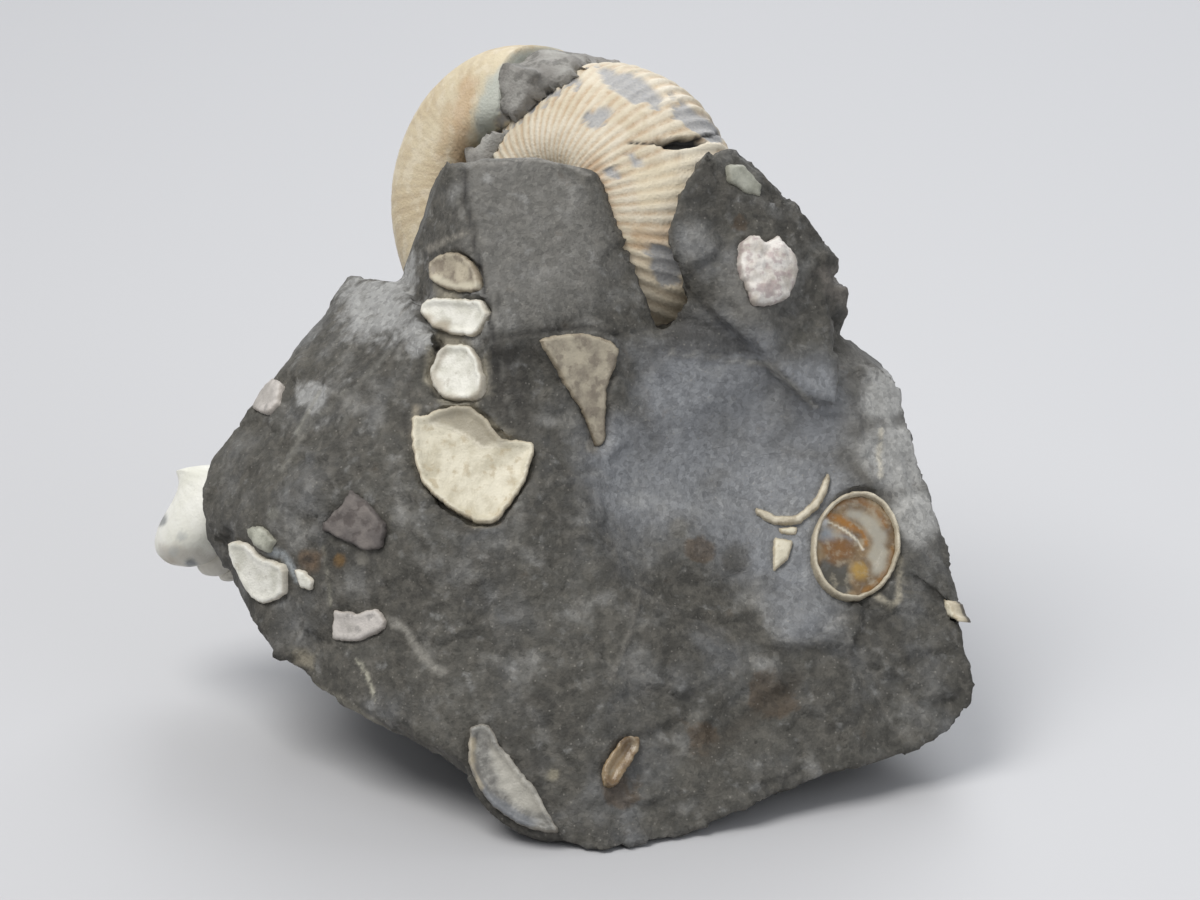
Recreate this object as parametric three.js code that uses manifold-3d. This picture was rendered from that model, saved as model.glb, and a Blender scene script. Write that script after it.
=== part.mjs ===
// A scaphites ammonite in a broken block of dark shale, with the smaller shells that the block holds.
// Millimetres, +Z up. The origin is on the small flat spot that the block rests on, and the broken
// front face looks towards -Y.
import * as THREE from "three";
import { ConvexGeometry } from "three/addons/geometries/ConvexGeometry.js";
import { ImprovedNoise } from "three/addons/math/ImprovedNoise.js";
import { TessellateModifier } from "three/addons/modifiers/TessellateModifier.js";
import { mergeVertices } from "three/addons/utils/BufferGeometryUtils.js";
import Module from "manifold-3d";

const wasm = await Module();
wasm.setup();

// The picture plane: it stands across the line of sight, which looks down on the block.
const EYE_DOWN = THREE.MathUtils.degToRad(20);
const EYE_DISTANCE = 400;
const PICTURE_HEIGHT = 26.7;

// The ammonite: its size in the plane of the coil, and how it lies in the block.
const COIL_RADIUS = 15.4;
const WHORL_GROWTH = 1.38;
const COIL_CENTRE = { x: 3.4, z: 1.2 };
const WHORL_SECTION = { middle: 0.55, half: 0.45, wide: 0.61 };
const COIL_PLACE = [-2.7, 19.7, -18.6];
const COIL_TURNED = 52;
const COIL_TILTED = 12;
const COIL_START = 400;
const RIB_PITCH = 1.35;
const RIB_HEIGHT = 0.32;
const ROUND_SIDES = 12;
const SHELL_GAP = 0.45;

// The shale.
const FACET_EDGE = 8;
const ROUGH_LUMPS = { size: 9, height: 1.1 };
const ROUGH_GRAIN = { size: 3.2, height: 0.5 };
const POCKET_GAP = 0.35;
const SHORTEST_EDGE = 0.02;

const acrossAxis = new THREE.Vector3(1, 0, 0);
const upAxis = new THREE.Vector3(0, Math.sin(EYE_DOWN), Math.cos(EYE_DOWN));
const nearAxis = new THREE.Vector3(0, -Math.cos(EYE_DOWN), Math.sin(EYE_DOWN));
const pictureCentre = new THREE.Vector3(0, 0, PICTURE_HEIGHT);
const eye = pictureCentre.clone().addScaledVector(nearAxis, EYE_DISTANCE);

// The point of the picture plane that is so far across and up.
function onPicture(across, up) {
  return pictureCentre.clone().addScaledVector(acrossAxis, across).addScaledVector(upAxis, up);
}

// The point that the eye sees there, so much nearer than the picture plane.
function seen([across, up, nearer]) {
  return onPicture(across, up).sub(eye).multiplyScalar(1 - nearer / EYE_DISTANCE).add(eye);
}

// A direction by how far it goes across, up and nearer.
function inPicture(across, up, nearer) {
  const way = new THREE.Vector3().addScaledVector(acrossAxis, across).addScaledVector(upAxis, up);
  return way.addScaledVector(nearAxis, nearer);
}

function at([x, y, z]) {
  return new THREE.Vector3(x, y, z);
}

function solidOf(geometry) {
  const bare = geometry.clone();
  for (const name of Object.keys(bare.attributes)) if (name !== "position") bare.deleteAttribute(name);
  const merged = mergeVertices(bare, 1e-3);
  return new wasm.Manifold(
    new wasm.Mesh({
      numProp: 3,
      vertProperties: new Float32Array(merged.attributes.position.array),
      triVerts: new Uint32Array(merged.index.array),
    }),
  );
}

function geometryOf(solid) {
  const mesh = solid.getMesh();
  return new THREE.BufferGeometry()
    .setAttribute("position", new THREE.BufferAttribute(new Float32Array(mesh.vertProperties), 3))
    .setIndex(new THREE.BufferAttribute(new Uint32Array(mesh.triVerts), 1));
}

function hullOf(points) {
  return solidOf(new ConvexGeometry(points));
}

function joined(solids) {
  return solids.reduce((whole, solid) => whole.add(solid));
}

// A closed skin over rings of points, each ring with the same number of points.
function skinOf(rings) {
  const sides = rings[0].length;
  const centreOf = (ring) => ring.reduce((sum, p) => sum.add(p), new THREE.Vector3()).divideScalar(sides);
  const points = [...rings.flat(), centreOf(rings[0]), centreOf(rings.at(-1))];
  const first = rings.length * sides;
  const last = first + 1;
  const faces = [];
  for (let side = 0; side < sides; side++) {
    const next = (side + 1) % sides;
    faces.push(first, next, side);
    faces.push(last, first - sides + side, first - sides + next);
    for (let ring = 0; ring + 1 < rings.length; ring++) {
      const [a, b] = [ring * sides + side, ring * sides + next];
      faces.push(a, b, a + sides, b, b + sides, a + sides);
    }
  }
  const geometry = new THREE.BufferGeometry().setFromPoints(points).setIndex(faces);
  return volumeOf(geometry) < 0 ? flipped(geometry) : geometry;
}

function volumeOf(geometry) {
  const position = geometry.attributes.position;
  const corner = (i) => new THREE.Vector3().fromBufferAttribute(position, geometry.index.array[i]);
  let volume = 0;
  for (let i = 0; i < geometry.index.count; i += 3) volume += corner(i).dot(corner(i + 1).cross(corner(i + 2))) / 6;
  return volume;
}

function flipped(geometry) {
  const index = geometry.index.array;
  for (let i = 0; i < index.length; i += 3) [index[i + 1], index[i + 2]] = [index[i + 2], index[i + 1]];
  return geometry;
}

// Ammonite: the tube is described in the plane of its coil, x towards the coiled end and z up.
// A station has its centre, the way to its outer edge, its half height and its half width.
const SHAFT_AND_HOOK = [
  { x: 3.4, z: -7.27, half: 6.93, wide: 9.4 },
  { x: -1, z: -8.6, half: 6.4, wide: 9.2 },
  { x: -5.8, z: -8.2, half: 5.9, wide: 8.9 },
  { x: -10, z: -5, half: 5.4, wide: 8.6 },
  { x: -12.3, z: 0.6, half: 5.2, wide: 8.2 },
  { x: -11.4, z: 5.9, half: 4.8, wide: 7.8 },
  { x: -8.2, z: 9.5, half: 4.4, wide: 7.4 },
  { x: -4.6, z: 10.9, half: 3.9, wide: 7 },
];

function coilStation(degreesBack) {
  const angle = THREE.MathUtils.degToRad(degreesBack - 90);
  const radius = COIL_RADIUS * WHORL_GROWTH ** (-degreesBack / 360);
  return {
    x: COIL_CENTRE.x + WHORL_SECTION.middle * radius * Math.cos(angle),
    z: COIL_CENTRE.z + WHORL_SECTION.middle * radius * Math.sin(angle),
    outX: Math.cos(angle),
    outZ: Math.sin(angle),
    half: WHORL_SECTION.half * radius,
    wide: WHORL_SECTION.wide * radius,
    flat: 1,
  };
}

function shaftStations(steps) {
  const path = new THREE.CatmullRomCurve3(SHAFT_AND_HOOK.map((s) => new THREE.Vector3(s.x, 0, s.z)));
  const sizes = new THREE.CatmullRomCurve3(SHAFT_AND_HOOK.map((s) => new THREE.Vector3(s.half, s.wide, 0)));
  return Array.from({ length: steps }, (_, i) => {
    const share = (i + 1) / steps;
    const [centre, along, size] = [path.getPoint(share), path.getTangent(share), sizes.getPoint(share)];
    return {
      x: centre.x, z: centre.z, outX: -along.z, outZ: along.x, half: size.x, wide: size.y,
      flat: THREE.MathUtils.lerp(1, 0.72, Math.min(1, 2 * share)),
    };
  });
}

// The stations from so many degrees back on the coil, evenly spaced along the outer edge.
function evenStations(fromDegrees, toDegrees, withShaft, pitch) {
  const fine = [];
  for (let back = fromDegrees; back >= toDegrees; back -= 2) fine.push(coilStation(back));
  if (withShaft) fine.push(...shaftStations(120));
  const edge = fine.map((s) => new THREE.Vector2(s.x + s.outX * s.half, s.z + s.outZ * s.half));
  const picked = [fine[0]];
  let walked = 0;
  for (let i = 1; i < fine.length; i++) {
    walked += edge[i].distanceTo(edge[i - 1]);
    if (walked < pitch) continue;
    walked -= pitch;
    picked.push(fine[i]);
  }
  if (picked.at(-1) !== fine.at(-1)) picked.push(fine.at(-1));
  return picked;
}

// One ring of the tube: broad outer edge, widest near the inner side, with a rib that fades inwards.
function tubeRing(station, ribHeight, swell) {
  return Array.from({ length: ROUND_SIDES }, (_, i) => {
    const round = (2 * Math.PI * i) / ROUND_SIDES;
    const shifted = round - 0.3 * Math.sin(round);
    const rib = ribHeight * THREE.MathUtils.smoothstep(Math.cos(round), -0.7, 0.3);
    const [outward, sideways] = [Math.cos(round), Math.sin(shifted)].map((v) => Math.sign(v) * Math.abs(v) ** station.flat);
    const out = (station.half + rib + swell) * outward;
    const side = (station.wide + rib + swell) * sideways;
    return new THREE.Vector3(station.x + station.outX * out, side, station.z + station.outZ * out);
  });
}

function ribbedTube(fromDegrees, toDegrees) {
  const stations = evenStations(fromDegrees, toDegrees, false, RIB_PITCH / 2);
  return solidOf(skinOf(stations.map((s, i) => tubeRing(s, i % 2 ? RIB_HEIGHT : 0, 0))));
}

function plainTube(fromDegrees, toDegrees, withShaft, pitch, swell) {
  return solidOf(skinOf(evenStations(fromDegrees, toDegrees, withShaft, pitch).map((s) => tubeRing(s, 0, swell))));
}

// The ribs show on the last whorl. The start of the coil and the shaft are deep in the shale.
function ammoniteSolid() {
  return biggest(
    joined([plainTube(COIL_START, 300, false, 3, 0), ribbedTube(300, 60), plainTube(60, 0, true, 2.4, 0)]),
  );
}

// The space that the ammonite takes in the shale.
function ammoniteSpace() {
  const swell = RIB_HEIGHT + SHELL_GAP;
  return joined([plainTube(COIL_START, 200, false, 3, swell), plainTube(220, 0, true, 3, swell)]);
}

// The coil's own axes, turned from edge-on and tilted as it lies in the block.
function ammonitePlace() {
  const [turned, tilted] = [COIL_TURNED, COIL_TILTED].map(THREE.MathUtils.degToRad);
  const length = inPicture(
    Math.sin(turned) * Math.cos(tilted),
    -Math.sin(tilted),
    Math.cos(turned) * Math.cos(tilted),
  );
  const height = inPicture(
    Math.sin(turned) * Math.sin(tilted),
    Math.cos(tilted),
    Math.cos(turned) * Math.sin(tilted),
  );
  const width = height.clone().cross(length);
  return new THREE.Matrix4().makeBasis(length, width, height).setPosition(seen(COIL_PLACE));
}

// Shale: chunks between break faces. Front corners are as seen (across, up, nearer than the
// picture plane), and hidden corners are in the part's own frame.
const MAIN_FRONT = [
  [0.7, -35, 13.5], [-3.4, -33, 12.6], [-11.7, -26.8, 10.4], [-21.2, -21, 4.2], [-24.6, -19.5, 1],
  [-28.7, -14.4, -3.5], [7.7, -32.1, 10.8], [17, -28.9, 6.8], [25.5, -25.7, 3], [30.2, -23.6, 0.6],
  [31.6, -21.7, -1], [31.9, -20, -1.6], [30.2, -12.8, -5], [28.9, -8.1, -7.2], [27.6, -4.3, -8.6],
  [26.4, -0.9, -9], [24.7, 3.4, -9.4], [23, 6.8, -9.6], [20.8, 9.4, -9.6], [19.8, 2.8, -4.8],
  [13, 7.2, -3.8], [5.3, 9, -3.8], [-1, 10, -0.8], [-9.5, 9.2, 1.6], [-14, 3, 3], [-15.5, -6, 5.8],
];
const MAIN_HIDDEN = [
  [10, -6, -1], [16, 4, -1], [10, 24, -1], [-10, 26, -1], [-14, 6, -1], [-5, -12, -1],
  [-27, 22, 12], [-27, 20, 26], [-20, 32, 14], [-19, 33, 30], [3, 39, 12], [4, 40, 28], [22, 30, 12],
  [21, 32, 26], [28, 10, 10], [26, 14, 28],
];
const LEFT_LOBE = [
  [-33.6, -7.6, -9], [-34.2, -3.4, -9.5], [-33.6, -0.9, -10.5], [-31.9, 1.7, -11], [-26.8, 5.9, -10],
  [-22.9, 11, -10], [-17.2, 14.9, -9], [-29.3, -12.7, -5], [-27.2, -17.2, -2], [-21.2, -20.8, 2.6],
  [-15.4, -7, 5.6], [-13.6, 3, 3], [-14.6, 10, -0.8], [-24.5, -3, 1.2], [-28.5, -7.5, -1.8], [-13, -20, 5],
];
const LEFT_LOBE_BACK = [[-31, 16, 14], [-29, 20, 22], [-22, 20, 36], [-18, 26, 33], [-26, 20, 8]];
const PANEL_LEFT = [
  [-12.6, 24.4, -4], [-9.3, 24.2, -3.6], [-5.9, 24.8, -4.2], [-3.4, 24.5, -4.6], [-0.9, 23.6, -5],
  [0.4, 20, -4.2], [2.1, 14.5, -3.6], [5.3, 9.8, -3.2], [-0.8, 10.6, 0.4], [-9.9, 9.1, 3.2], [-10.6, 13, 1.6],
];
const PANEL_LEFT_BACK = [
  [-13.6, 22.1, -8], [-16.1, 17, -10], [-17.2, 14.9, -10.5], [-14.5, 9.8, -4], [-12, 4, 0], [-13, 24, -14],
  [-1, 23, -12], [2, 12, -12], [-15, 15, -22],
];
const PANEL_RIGHT = [
  [9.2, 24.9, -5.4], [11.5, 25.2, -6.4], [14.5, 22.3, -7.4], [17, 20, -7.8], [18.7, 18.3, -8.2],
  [19.2, 17.2, -8.4], [6.8, 20.8, -2.8], [6.4, 19.1, -2.5], [7.1, 17, -2.8], [7.7, 13.2, -3.2],
  [9.8, 10.9, -3], [13.6, 8.1, -3], [17, 5.5, -3.2], [19.6, 3.4, -4], [20.2, 11, -8],
];
const PANEL_RIGHT_BACK = [[11, 24.5, -17], [17.5, 19, -18], [20, 13, -18], [19, 5, -18], [9, 8, -14]];
const NOTCH_BLOCK = [
  [19, 17.6, -9], [20.3, 16, -9.2], [20.2, 15, -9], [19, 15.2, -7.4], [18.8, 16.8, -8], [18.5, 16, -14],
];
const STEP_BLOCK = [
  [18.4, 13.9, -6.9], [21.5, 13.6, -8.6], [21.6, 11.9, -8.8], [20.8, 9.2, -10], [17.6, 12.4, -6.4],
  [17.4, 11.6, -7], [20, 14, -15], [20, 8, -15],
];
const SHADED_HOLLOW = [
  [7.5, 13.4, -3.6], [10, 11.2, -3.6], [5.4, 9.4, -5], [13.8, 8, -5.4], [9, 7.4, -6.6], [9, 9, -12],
];
const SCOOP = { across: 10.8, up: -0.5, radius: 34, depth: 1.3 };

function chunk(front, back, place) {
  return hullOf([...front.map(seen), ...back.map(place)]);
}

const noise = new ImprovedNoise();
function roughness(point, { size, height }, shift) {
  const [x, y, z] = point.toArray().map((v) => v / size + shift);
  return height * noise.noise(x, y, z);
}

// Breaks up the flat facets, by moves that depend only on where a point is.
function roughened(solid) {
  const flat = geometryOf(solid).toNonIndexed();
  const fine = new TessellateModifier(FACET_EDGE, 12).modify(flat);
  const position = fine.attributes.position;
  for (let i = 0; i < position.count; i++) {
    const p = new THREE.Vector3().fromBufferAttribute(position, i);
    const shifts = [11.3, 37.7, 71.9].map(
      (shift) => roughness(p, ROUGH_LUMPS, shift) + roughness(p, ROUGH_GRAIN, shift),
    );
    position.setXYZ(i, p.x + shifts[0], p.y + shifts[1], p.z + shifts[2]);
  }
  return solidOf(fine);
}

function shaleSolid() {
  const main = chunk(MAIN_FRONT, MAIN_HIDDEN, at);
  const scoopSpot = seen([SCOOP.across, SCOOP.up, -2.4]);
  const scoopOut = new THREE.Vector3(0.28, -0.8, 0.53).normalize();
  const scoopCentre = scoopSpot.addScaledVector(scoopOut, SCOOP.radius - SCOOP.depth);
  const scoop = new THREE.SphereGeometry(SCOOP.radius, 40, 30).translate(...scoopCentre.toArray());
  const blocks = [
    main.subtract(solidOf(scoop)),
    chunk(LEFT_LOBE, LEFT_LOBE_BACK, at),
    chunk(PANEL_LEFT, PANEL_LEFT_BACK, seen),
    chunk(PANEL_RIGHT, PANEL_RIGHT_BACK, seen),
    hullOf(NOTCH_BLOCK.map(seen)),
    hullOf(STEP_BLOCK.map(seen)),
    hullOf(SHADED_HOLLOW.map(seen)),
  ];
  const below = new THREE.BoxGeometry(200, 200, 40).translate(0, 0, -20);
  return roughened(joined(blocks)).subtract(solidOf(below));
}

// Stone that fills the mouth of the hook, and the groove from there down between hook and coil.
const MOUTH_FILL = [
  { x: -4.9, z: 10.85, half: 3.5, wide: 6.5 },
  { x: -2.4, z: 11.3, half: 3.5, wide: 6.4 },
  { x: 0.6, z: 11.5, half: 3.1, wide: 6 },
  { x: 4, z: 11.2, half: 2.4, wide: 5 },
];
const GROOVE_FILL = [
  [-10.5, 8], [-4.5, 13], [-1, 12.5], [-2.5, 6], [-5, -1], [-9.5, -1],
];
const GROOVE_SIDE = 6.9;

function mouthFill() {
  const stations = MOUTH_FILL.map((s) => ({ ...s, outX: 0.06, outZ: 0.998, flat: 0.8 }));
  const fill = solidOf(skinOf(stations.map((s) => tubeRing(s, 0, 0))));
  const corners = [-GROOVE_SIDE, 1].flatMap((y) => GROOVE_FILL.map(([x, z]) => new THREE.Vector3(x, y, z)));
  const gap = RIB_HEIGHT + SHELL_GAP;
  const shell = joined([plainTube(COIL_START, 200, false, 2.6, gap), plainTube(220, 0, true, 2.6, gap)]);
  return biggest(fill.add(hullOf(corners)).subtract(shell).subtract(shell.translate([POCKET_GAP, 0, 0])));
}

// The main body of a solid, without the crumbs and closed pores that cuts leave.
function biggest(solid) {
  const main = (parts) => parts.decompose().sort((a, b) => b.volume() - a.volume())[0];
  return main(solidOf(geometryOf(main(solid).setTolerance(SHORTEST_EDGE))));
}

// Flat pieces of shell that lie in the broken faces, each outline as seen (across, up).
const CHIPS = {
  chamber_1: {
    finish: "beige", proud: 0.35,
    outline: [
      [-14.3, 16], [-13.2, 16.6], [-11.9, 16.7], [-10.9, 16], [-10.4, 14.9], [-10.4, 13.6], [-12, 13.5],
      [-13.2, 13.8], [-14.2, 14.4], [-14.4, 15.1],
    ],
  },
  chamber_2: {
    finish: "white", proud: 0.5,
    outline: [
      [-15, 11.7], [-14.5, 12.7], [-13.2, 12.8], [-10.6, 12.7], [-9.9, 12.6], [-9.4, 11.5], [-10, 10.2],
      [-10.6, 9.7], [-12.8, 9.9], [-14, 10.4],
    ],
  },
  chamber_3: {
    finish: "white", proud: 0.4,
    outline: [
      [-14.3, 6.4], [-13.6, 8.2], [-12.8, 8.9], [-11.1, 8.8], [-10.2, 7.6], [-9.9, 5.5], [-10.4, 4.4],
      [-12.3, 4.2], [-13.6, 4.7],
    ],
  },
  chamber_4: {
    finish: "cream", proud: 0.45,
    outline: [
      [-16, 2.6], [-14.9, 2.8], [-13.6, 3.4], [-11.1, 3.6], [-9.6, 2.4], [-8.3, 0.9], [-5.8, 0.6], [-5.7, -0.2],
      [-6.4, -2.6], [-7.7, -4.7], [-8.9, -6], [-10.6, -6.1], [-12.8, -4.9], [-14.9, -3], [-15.8, -0.4],
    ],
  },
  fan_shell: {
    finish: "beige", proud: 0.3,
    outline: [
      [-5.1, 9.3], [-3.4, 9.8], [-1.3, 9.9], [0.4, 9.5], [1.5, 8.6], [1.2, 7.2], [0.5, 5.1], [0.4, 2.6],
      [0.4, 0.9], [-0.4, 0.3], [-0.9, 1.5], [-1.4, 3], [-2.6, 4.9], [-3.8, 7.2],
    ],
  },
  oyster_chip: {
    finish: "white", proud: 0.9,
    outline: [
      [11.9, 17.4], [12.6, 18.1], [13.4, 18.1], [14, 17.5], [14.9, 18.1], [15.7, 17.4], [16.6, 16],
      [16.7, 15.1], [16.3, 13.6], [15.7, 12.8], [14, 12.2], [12.9, 12.3], [12.3, 14], [11.8, 15.5],
    ],
  },
  sliver_arc: {
    finish: "cream", proud: 0.35,
    outline: [
      [13.3, -5], [14.9, -5.6], [16.6, -5.6], [17.8, -4.7], [18.6, -3.5], [19.2, -2.1], [19.6, -2.3],
      [19.2, -3.8], [18.3, -5.2], [16.8, -6.3], [14.8, -6.3], [13.3, -5.5],
    ],
  },
  chip_stub: {
    finish: "cream", proud: 0.35,
    outline: [[14.9, -7.5], [16.3, -7.8], [15.9, -9.3], [14.9, -10.3], [14.7, -10], [14.7, -8.2]],
  },
  white_chip_left: {
    finish: "white", proud: 0.5,
    outline: [
      [-31.4, -8], [-30.7, -7.7], [-29.7, -8], [-28.7, -9], [-27, -9.7], [-26.6, -10.3], [-26.7, -12.2],
      [-28.3, -13], [-29.4, -12.4], [-30.4, -10.9], [-31, -9.6],
    ],
  },
  white_chip_small: {
    finish: "white", proud: 0.35,
    outline: [[-25.8, -10.2], [-25.1, -10.3], [-24.3, -11.1], [-24.5, -11.9], [-25.4, -11.6]],
  },
  slate_flake: {
    finish: "flake", proud: 0.6,
    outline: [
      [-21.1, -3.5], [-19.8, -4.4], [-18.2, -6.3], [-18.4, -8.3], [-19.8, -8.5], [-23.4, -6.8], [-23.3, -6.2],
      [-21.8, -4.7],
    ],
  },
  grey_chip: {
    finish: "grey", proud: 0.35,
    outline: [
      [-22.4, -13.7], [-20.5, -13.9], [-19, -13.5], [-18.2, -14.6], [-18.5, -15.3], [-20.5, -16.2],
      [-22.6, -16.1],
    ],
  },
  rim_shell: {
    finish: "grey", proud: 0.8,
    outline: [
      [-10.9, -23.8], [-11.1, -26.4], [-10.4, -28.6], [-8.9, -30.4], [-6.6, -31.9], [-4.7, -32.5], [-3.6, -32.4],
      [-4.3, -31], [-5.5, -28.9], [-7.2, -26.8], [-8.5, -25.1], [-9.4, -23.5],
    ],
  },
  tube_shell: {
    finish: "calcite", proud: 0.7,
    outline: [
      [0.2, -27.6], [0.4, -26.7], [1.6, -24.9], [2.4, -24.4], [3.1, -24.7], [3.1, -25.5], [2, -27.4], [1.2, -28.6],
      [0.4, -28.6],
    ],
  },
  chip_bar: {
    finish: "cream", proud: 0.3,
    outline: [[15.2, -6.6], [16.7, -6.6], [16.7, -7.2], [15.4, -7.1]],
  },
  beige_chip: {
    finish: "beige", proud: 0.4,
    outline: [[-29.8, -6.8], [-28.7, -6.5], [-27.6, -7.7], [-28.1, -8.7], [-29.3, -8.1]],
  },
  edge_shell_left: {
    finish: "grey", proud: 0.5,
    outline: [[-29.3, 3.4], [-28.7, 4.7], [-27.6, 5.9], [-26.9, 5.5], [-27.2, 3.8], [-28.1, 3]],
  },
  edge_shell_right: {
    finish: "cream", proud: 0.4,
    outline: [[29.4, -12.7], [30, -13.1], [30.7, -14.6], [29.7, -14]],
  },
  shoulder_shell: {
    finish: "grey", proud: 0.3,
    outline: [[10.9, 24.2], [12.1, 24.2], [13.6, 22.5], [13.5, 21.6], [12.3, 21.9], [11, 22.9]],
  },
};
const RING = { across: 21.7, up: -8.2, halfAcross: 3.7, halfUp: 4.6, leaning: -10, wall: 0.55, sides: 16 };
const CHIP_DEPTH = 1.3;
const CHIP_BEVEL = 0.18;

const finishes = {
  shale: { color: 0x55524d, roughness: 0.9 },
  shell: { color: 0xd9c6a2, roughness: 0.55 },
  white: { color: 0xe8e3d8, roughness: 0.5 },
  cream: { color: 0xe0d6bd, roughness: 0.5 },
  beige: { color: 0xa39a87, roughness: 0.5 },
  grey: { color: 0x9d9a94, roughness: 0.5 },
  flake: { color: 0x6b6362, roughness: 0.85 },
  calcite: { color: 0x8b6236, roughness: 0.45 },
};

function meshOf(name, geometry, finish) {
  const mesh = new THREE.Mesh(geometry, new THREE.MeshStandardMaterial({ metalness: 0, ...finishes[finish] }));
  mesh.name = name;
  return mesh;
}

// The flat frame of the rock's surface behind an outline: its middle, and its own three directions.
function bedOf(rock, outline) {
  const caster = new THREE.Raycaster();
  const hits = outline.flatMap(([across, up]) => {
    caster.set(eye, onPicture(across, up).sub(eye).normalize());
    return caster.intersectObject(rock).slice(0, 1);
  });
  const middle = hits.reduce((sum, h) => sum.add(h.point), new THREE.Vector3()).divideScalar(hits.length);
  const out = hits.reduce((sum, h) => sum.add(h.face.normal), new THREE.Vector3()).normalize();
  const right = acrossAxis.clone().addScaledVector(out, -out.dot(acrossAxis)).normalize();
  return { middle, right, out, up: out.clone().cross(right) };
}

// Where the eye sees the outline on that flat frame.
function laidOn(bed, outline) {
  const plane = new THREE.Plane().setFromNormalAndCoplanarPoint(bed.out, bed.middle);
  return outline.map(([across, up]) => {
    const ray = new THREE.Ray(eye, onPicture(across, up).sub(eye).normalize());
    const spot = ray.intersectPlane(plane, new THREE.Vector3()).sub(bed.middle);
    return new THREE.Vector2(spot.dot(bed.right), spot.dot(bed.up));
  });
}

function widened(outline, gap) {
  const turn = THREE.ShapeUtils.isClockWise(outline) ? -1 : 1;
  const across = (from, to) => to.clone().sub(from).normalize().rotateAround(new THREE.Vector2(), -turn * Math.PI / 2);
  return outline.map((p, i) => {
    const [before, after] = [outline.at(i - 1), outline[(i + 1) % outline.length]];
    const out = across(before, p).add(across(p, after)).normalize();
    return p.clone().addScaledVector(out, gap);
  });
}

function slabOn(bed, outline, deep, proud, bevel, hole) {
  const shape = new THREE.Shape(outline);
  if (hole) shape.holes.push(new THREE.Path(hole));
  const slab = new THREE.ExtrudeGeometry(shape, {
    depth: deep + proud - 2 * bevel,
    bevelEnabled: bevel > 0,
    bevelThickness: bevel,
    bevelSize: bevel,
    bevelOffset: -bevel,
    bevelSegments: 1,
    curveSegments: 1,
  });
  const frame = new THREE.Matrix4().makeBasis(bed.right, bed.up, bed.out).setPosition(bed.middle);
  return solidOf(slab.translate(0, 0, bevel - deep).applyMatrix4(frame));
}

function ellipse(grown) {
  const leaning = THREE.MathUtils.degToRad(RING.leaning);
  return Array.from({ length: RING.sides }, (_, i) => {
    const angle = (2 * Math.PI * i) / RING.sides;
    const spot = new THREE.Vector2(Math.cos(angle) * (RING.halfAcross + grown), Math.sin(angle) * (RING.halfUp + grown));
    spot.rotateAround(new THREE.Vector2(), leaning);
    return [RING.across + spot.x, RING.up + spot.y];
  });
}

// The snail in the left side of the rock: a tube that coils away from its mouth towards the tip. Its
// mouth is closed by a low dome.
const SNAIL = {
  place: [-33.3, -6.7, -16.5], whorl: 4.1, coil: 2, growth: 1.9, rise: 8.6, turns: 2.5, sides: 9,
  tip: [0.45, -0.8, -0.35], mouth: 40, lip: 0.1,
};

function snailSolid(swell) {
  const tip = inPicture(...SNAIL.tip).normalize();
  const first = inPicture(1, 0, 0).addScaledVector(tip, -tip.dot(acrossAxis)).normalize();
  const second = tip.clone().cross(first);
  const ring = (turn) => {
    const size = SNAIL.growth ** -Math.max(turn, 0);
    const dome = Math.sqrt(1 - (Math.min(turn, 0) / SNAIL.lip) ** 2);
    const angle = THREE.MathUtils.degToRad(SNAIL.mouth + 360 * turn);
    const outward = first.clone().multiplyScalar(Math.cos(angle)).addScaledVector(second, Math.sin(angle));
    const centre = seen(SNAIL.place)
      .addScaledVector(outward, SNAIL.coil * size)
      .addScaledVector(tip, SNAIL.rise * (1 - size) - 2.2);
    return Array.from({ length: SNAIL.sides }, (_, i) => {
      const round = (2 * Math.PI * i) / SNAIL.sides;
      const reach = SNAIL.whorl * size + swell;
      const sideways = Math.max(Math.cos(round) * reach, 0.3 - SNAIL.coil * size) * dome;
      return centre.clone().addScaledVector(outward, sideways).addScaledVector(tip, Math.sin(round) * reach * dome);
    });
  };
  const parts = [solidOf(skinOf([-0.95, -0.75, -0.4, 0, 0.5].map((share) => ring(share * SNAIL.lip))))];
  for (let turn = 0; turn < SNAIL.turns; turn += 0.5) {
    parts.push(solidOf(skinOf([0, 1, 2, 3, 4].map((i) => ring(turn + i / 8)))));
  }
  return biggest(joined(parts));
}

const place = ammonitePlace();
const placed = (solid) => solidOf(geometryOf(solid).applyMatrix4(place));
const mouth = placed(mouthFill());
const sixWays = [[1, 0, 0], [-1, 0, 0], [0, 1, 0], [0, -1, 0], [0, 0, 1], [0, 0, -1]];
const mouthSpace = joined(sixWays.map((way) => mouth.translate(way.map((v) => v * POCKET_GAP))));
const hollowed = shaleSolid().subtract(placed(ammoniteSpace())).subtract(snailSolid(POCKET_GAP));
const whole = biggest(hollowed.subtract(mouthSpace));
const roughRock = meshOf("rough", geometryOf(whole), "shale");
roughRock.updateMatrixWorld();

const pieces = [];
const pockets = [];
for (const [name, { outline, finish, proud }] of Object.entries(CHIPS)) {
  const bed = bedOf(roughRock, outline);
  const laid = laidOn(bed, outline);
  pieces.push(meshOf(name, geometryOf(slabOn(bed, laid, CHIP_DEPTH, proud, CHIP_BEVEL)), finish));
  pockets.push(slabOn(bed, widened(laid, POCKET_GAP), CHIP_DEPTH + POCKET_GAP, 4, 0));
}
const ringBed = bedOf(roughRock, ellipse(0));
const [ringOut, ringIn, ringFill] = [0, -RING.wall, -RING.wall - 0.3].map((grown) => laidOn(ringBed, ellipse(grown)));
pieces.push(
  meshOf("ring_shell", geometryOf(slabOn(ringBed, ringOut, CHIP_DEPTH, 0.5, 0, ringIn)), "cream"),
  meshOf("ring_calcite", geometryOf(slabOn(ringBed, ringFill, CHIP_DEPTH, 0.15, 0)), "calcite"),
  meshOf("snail_shell", geometryOf(snailSolid(0)), "white"),
  meshOf("mouth_fill", geometryOf(mouth), "flake"),
);
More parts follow.
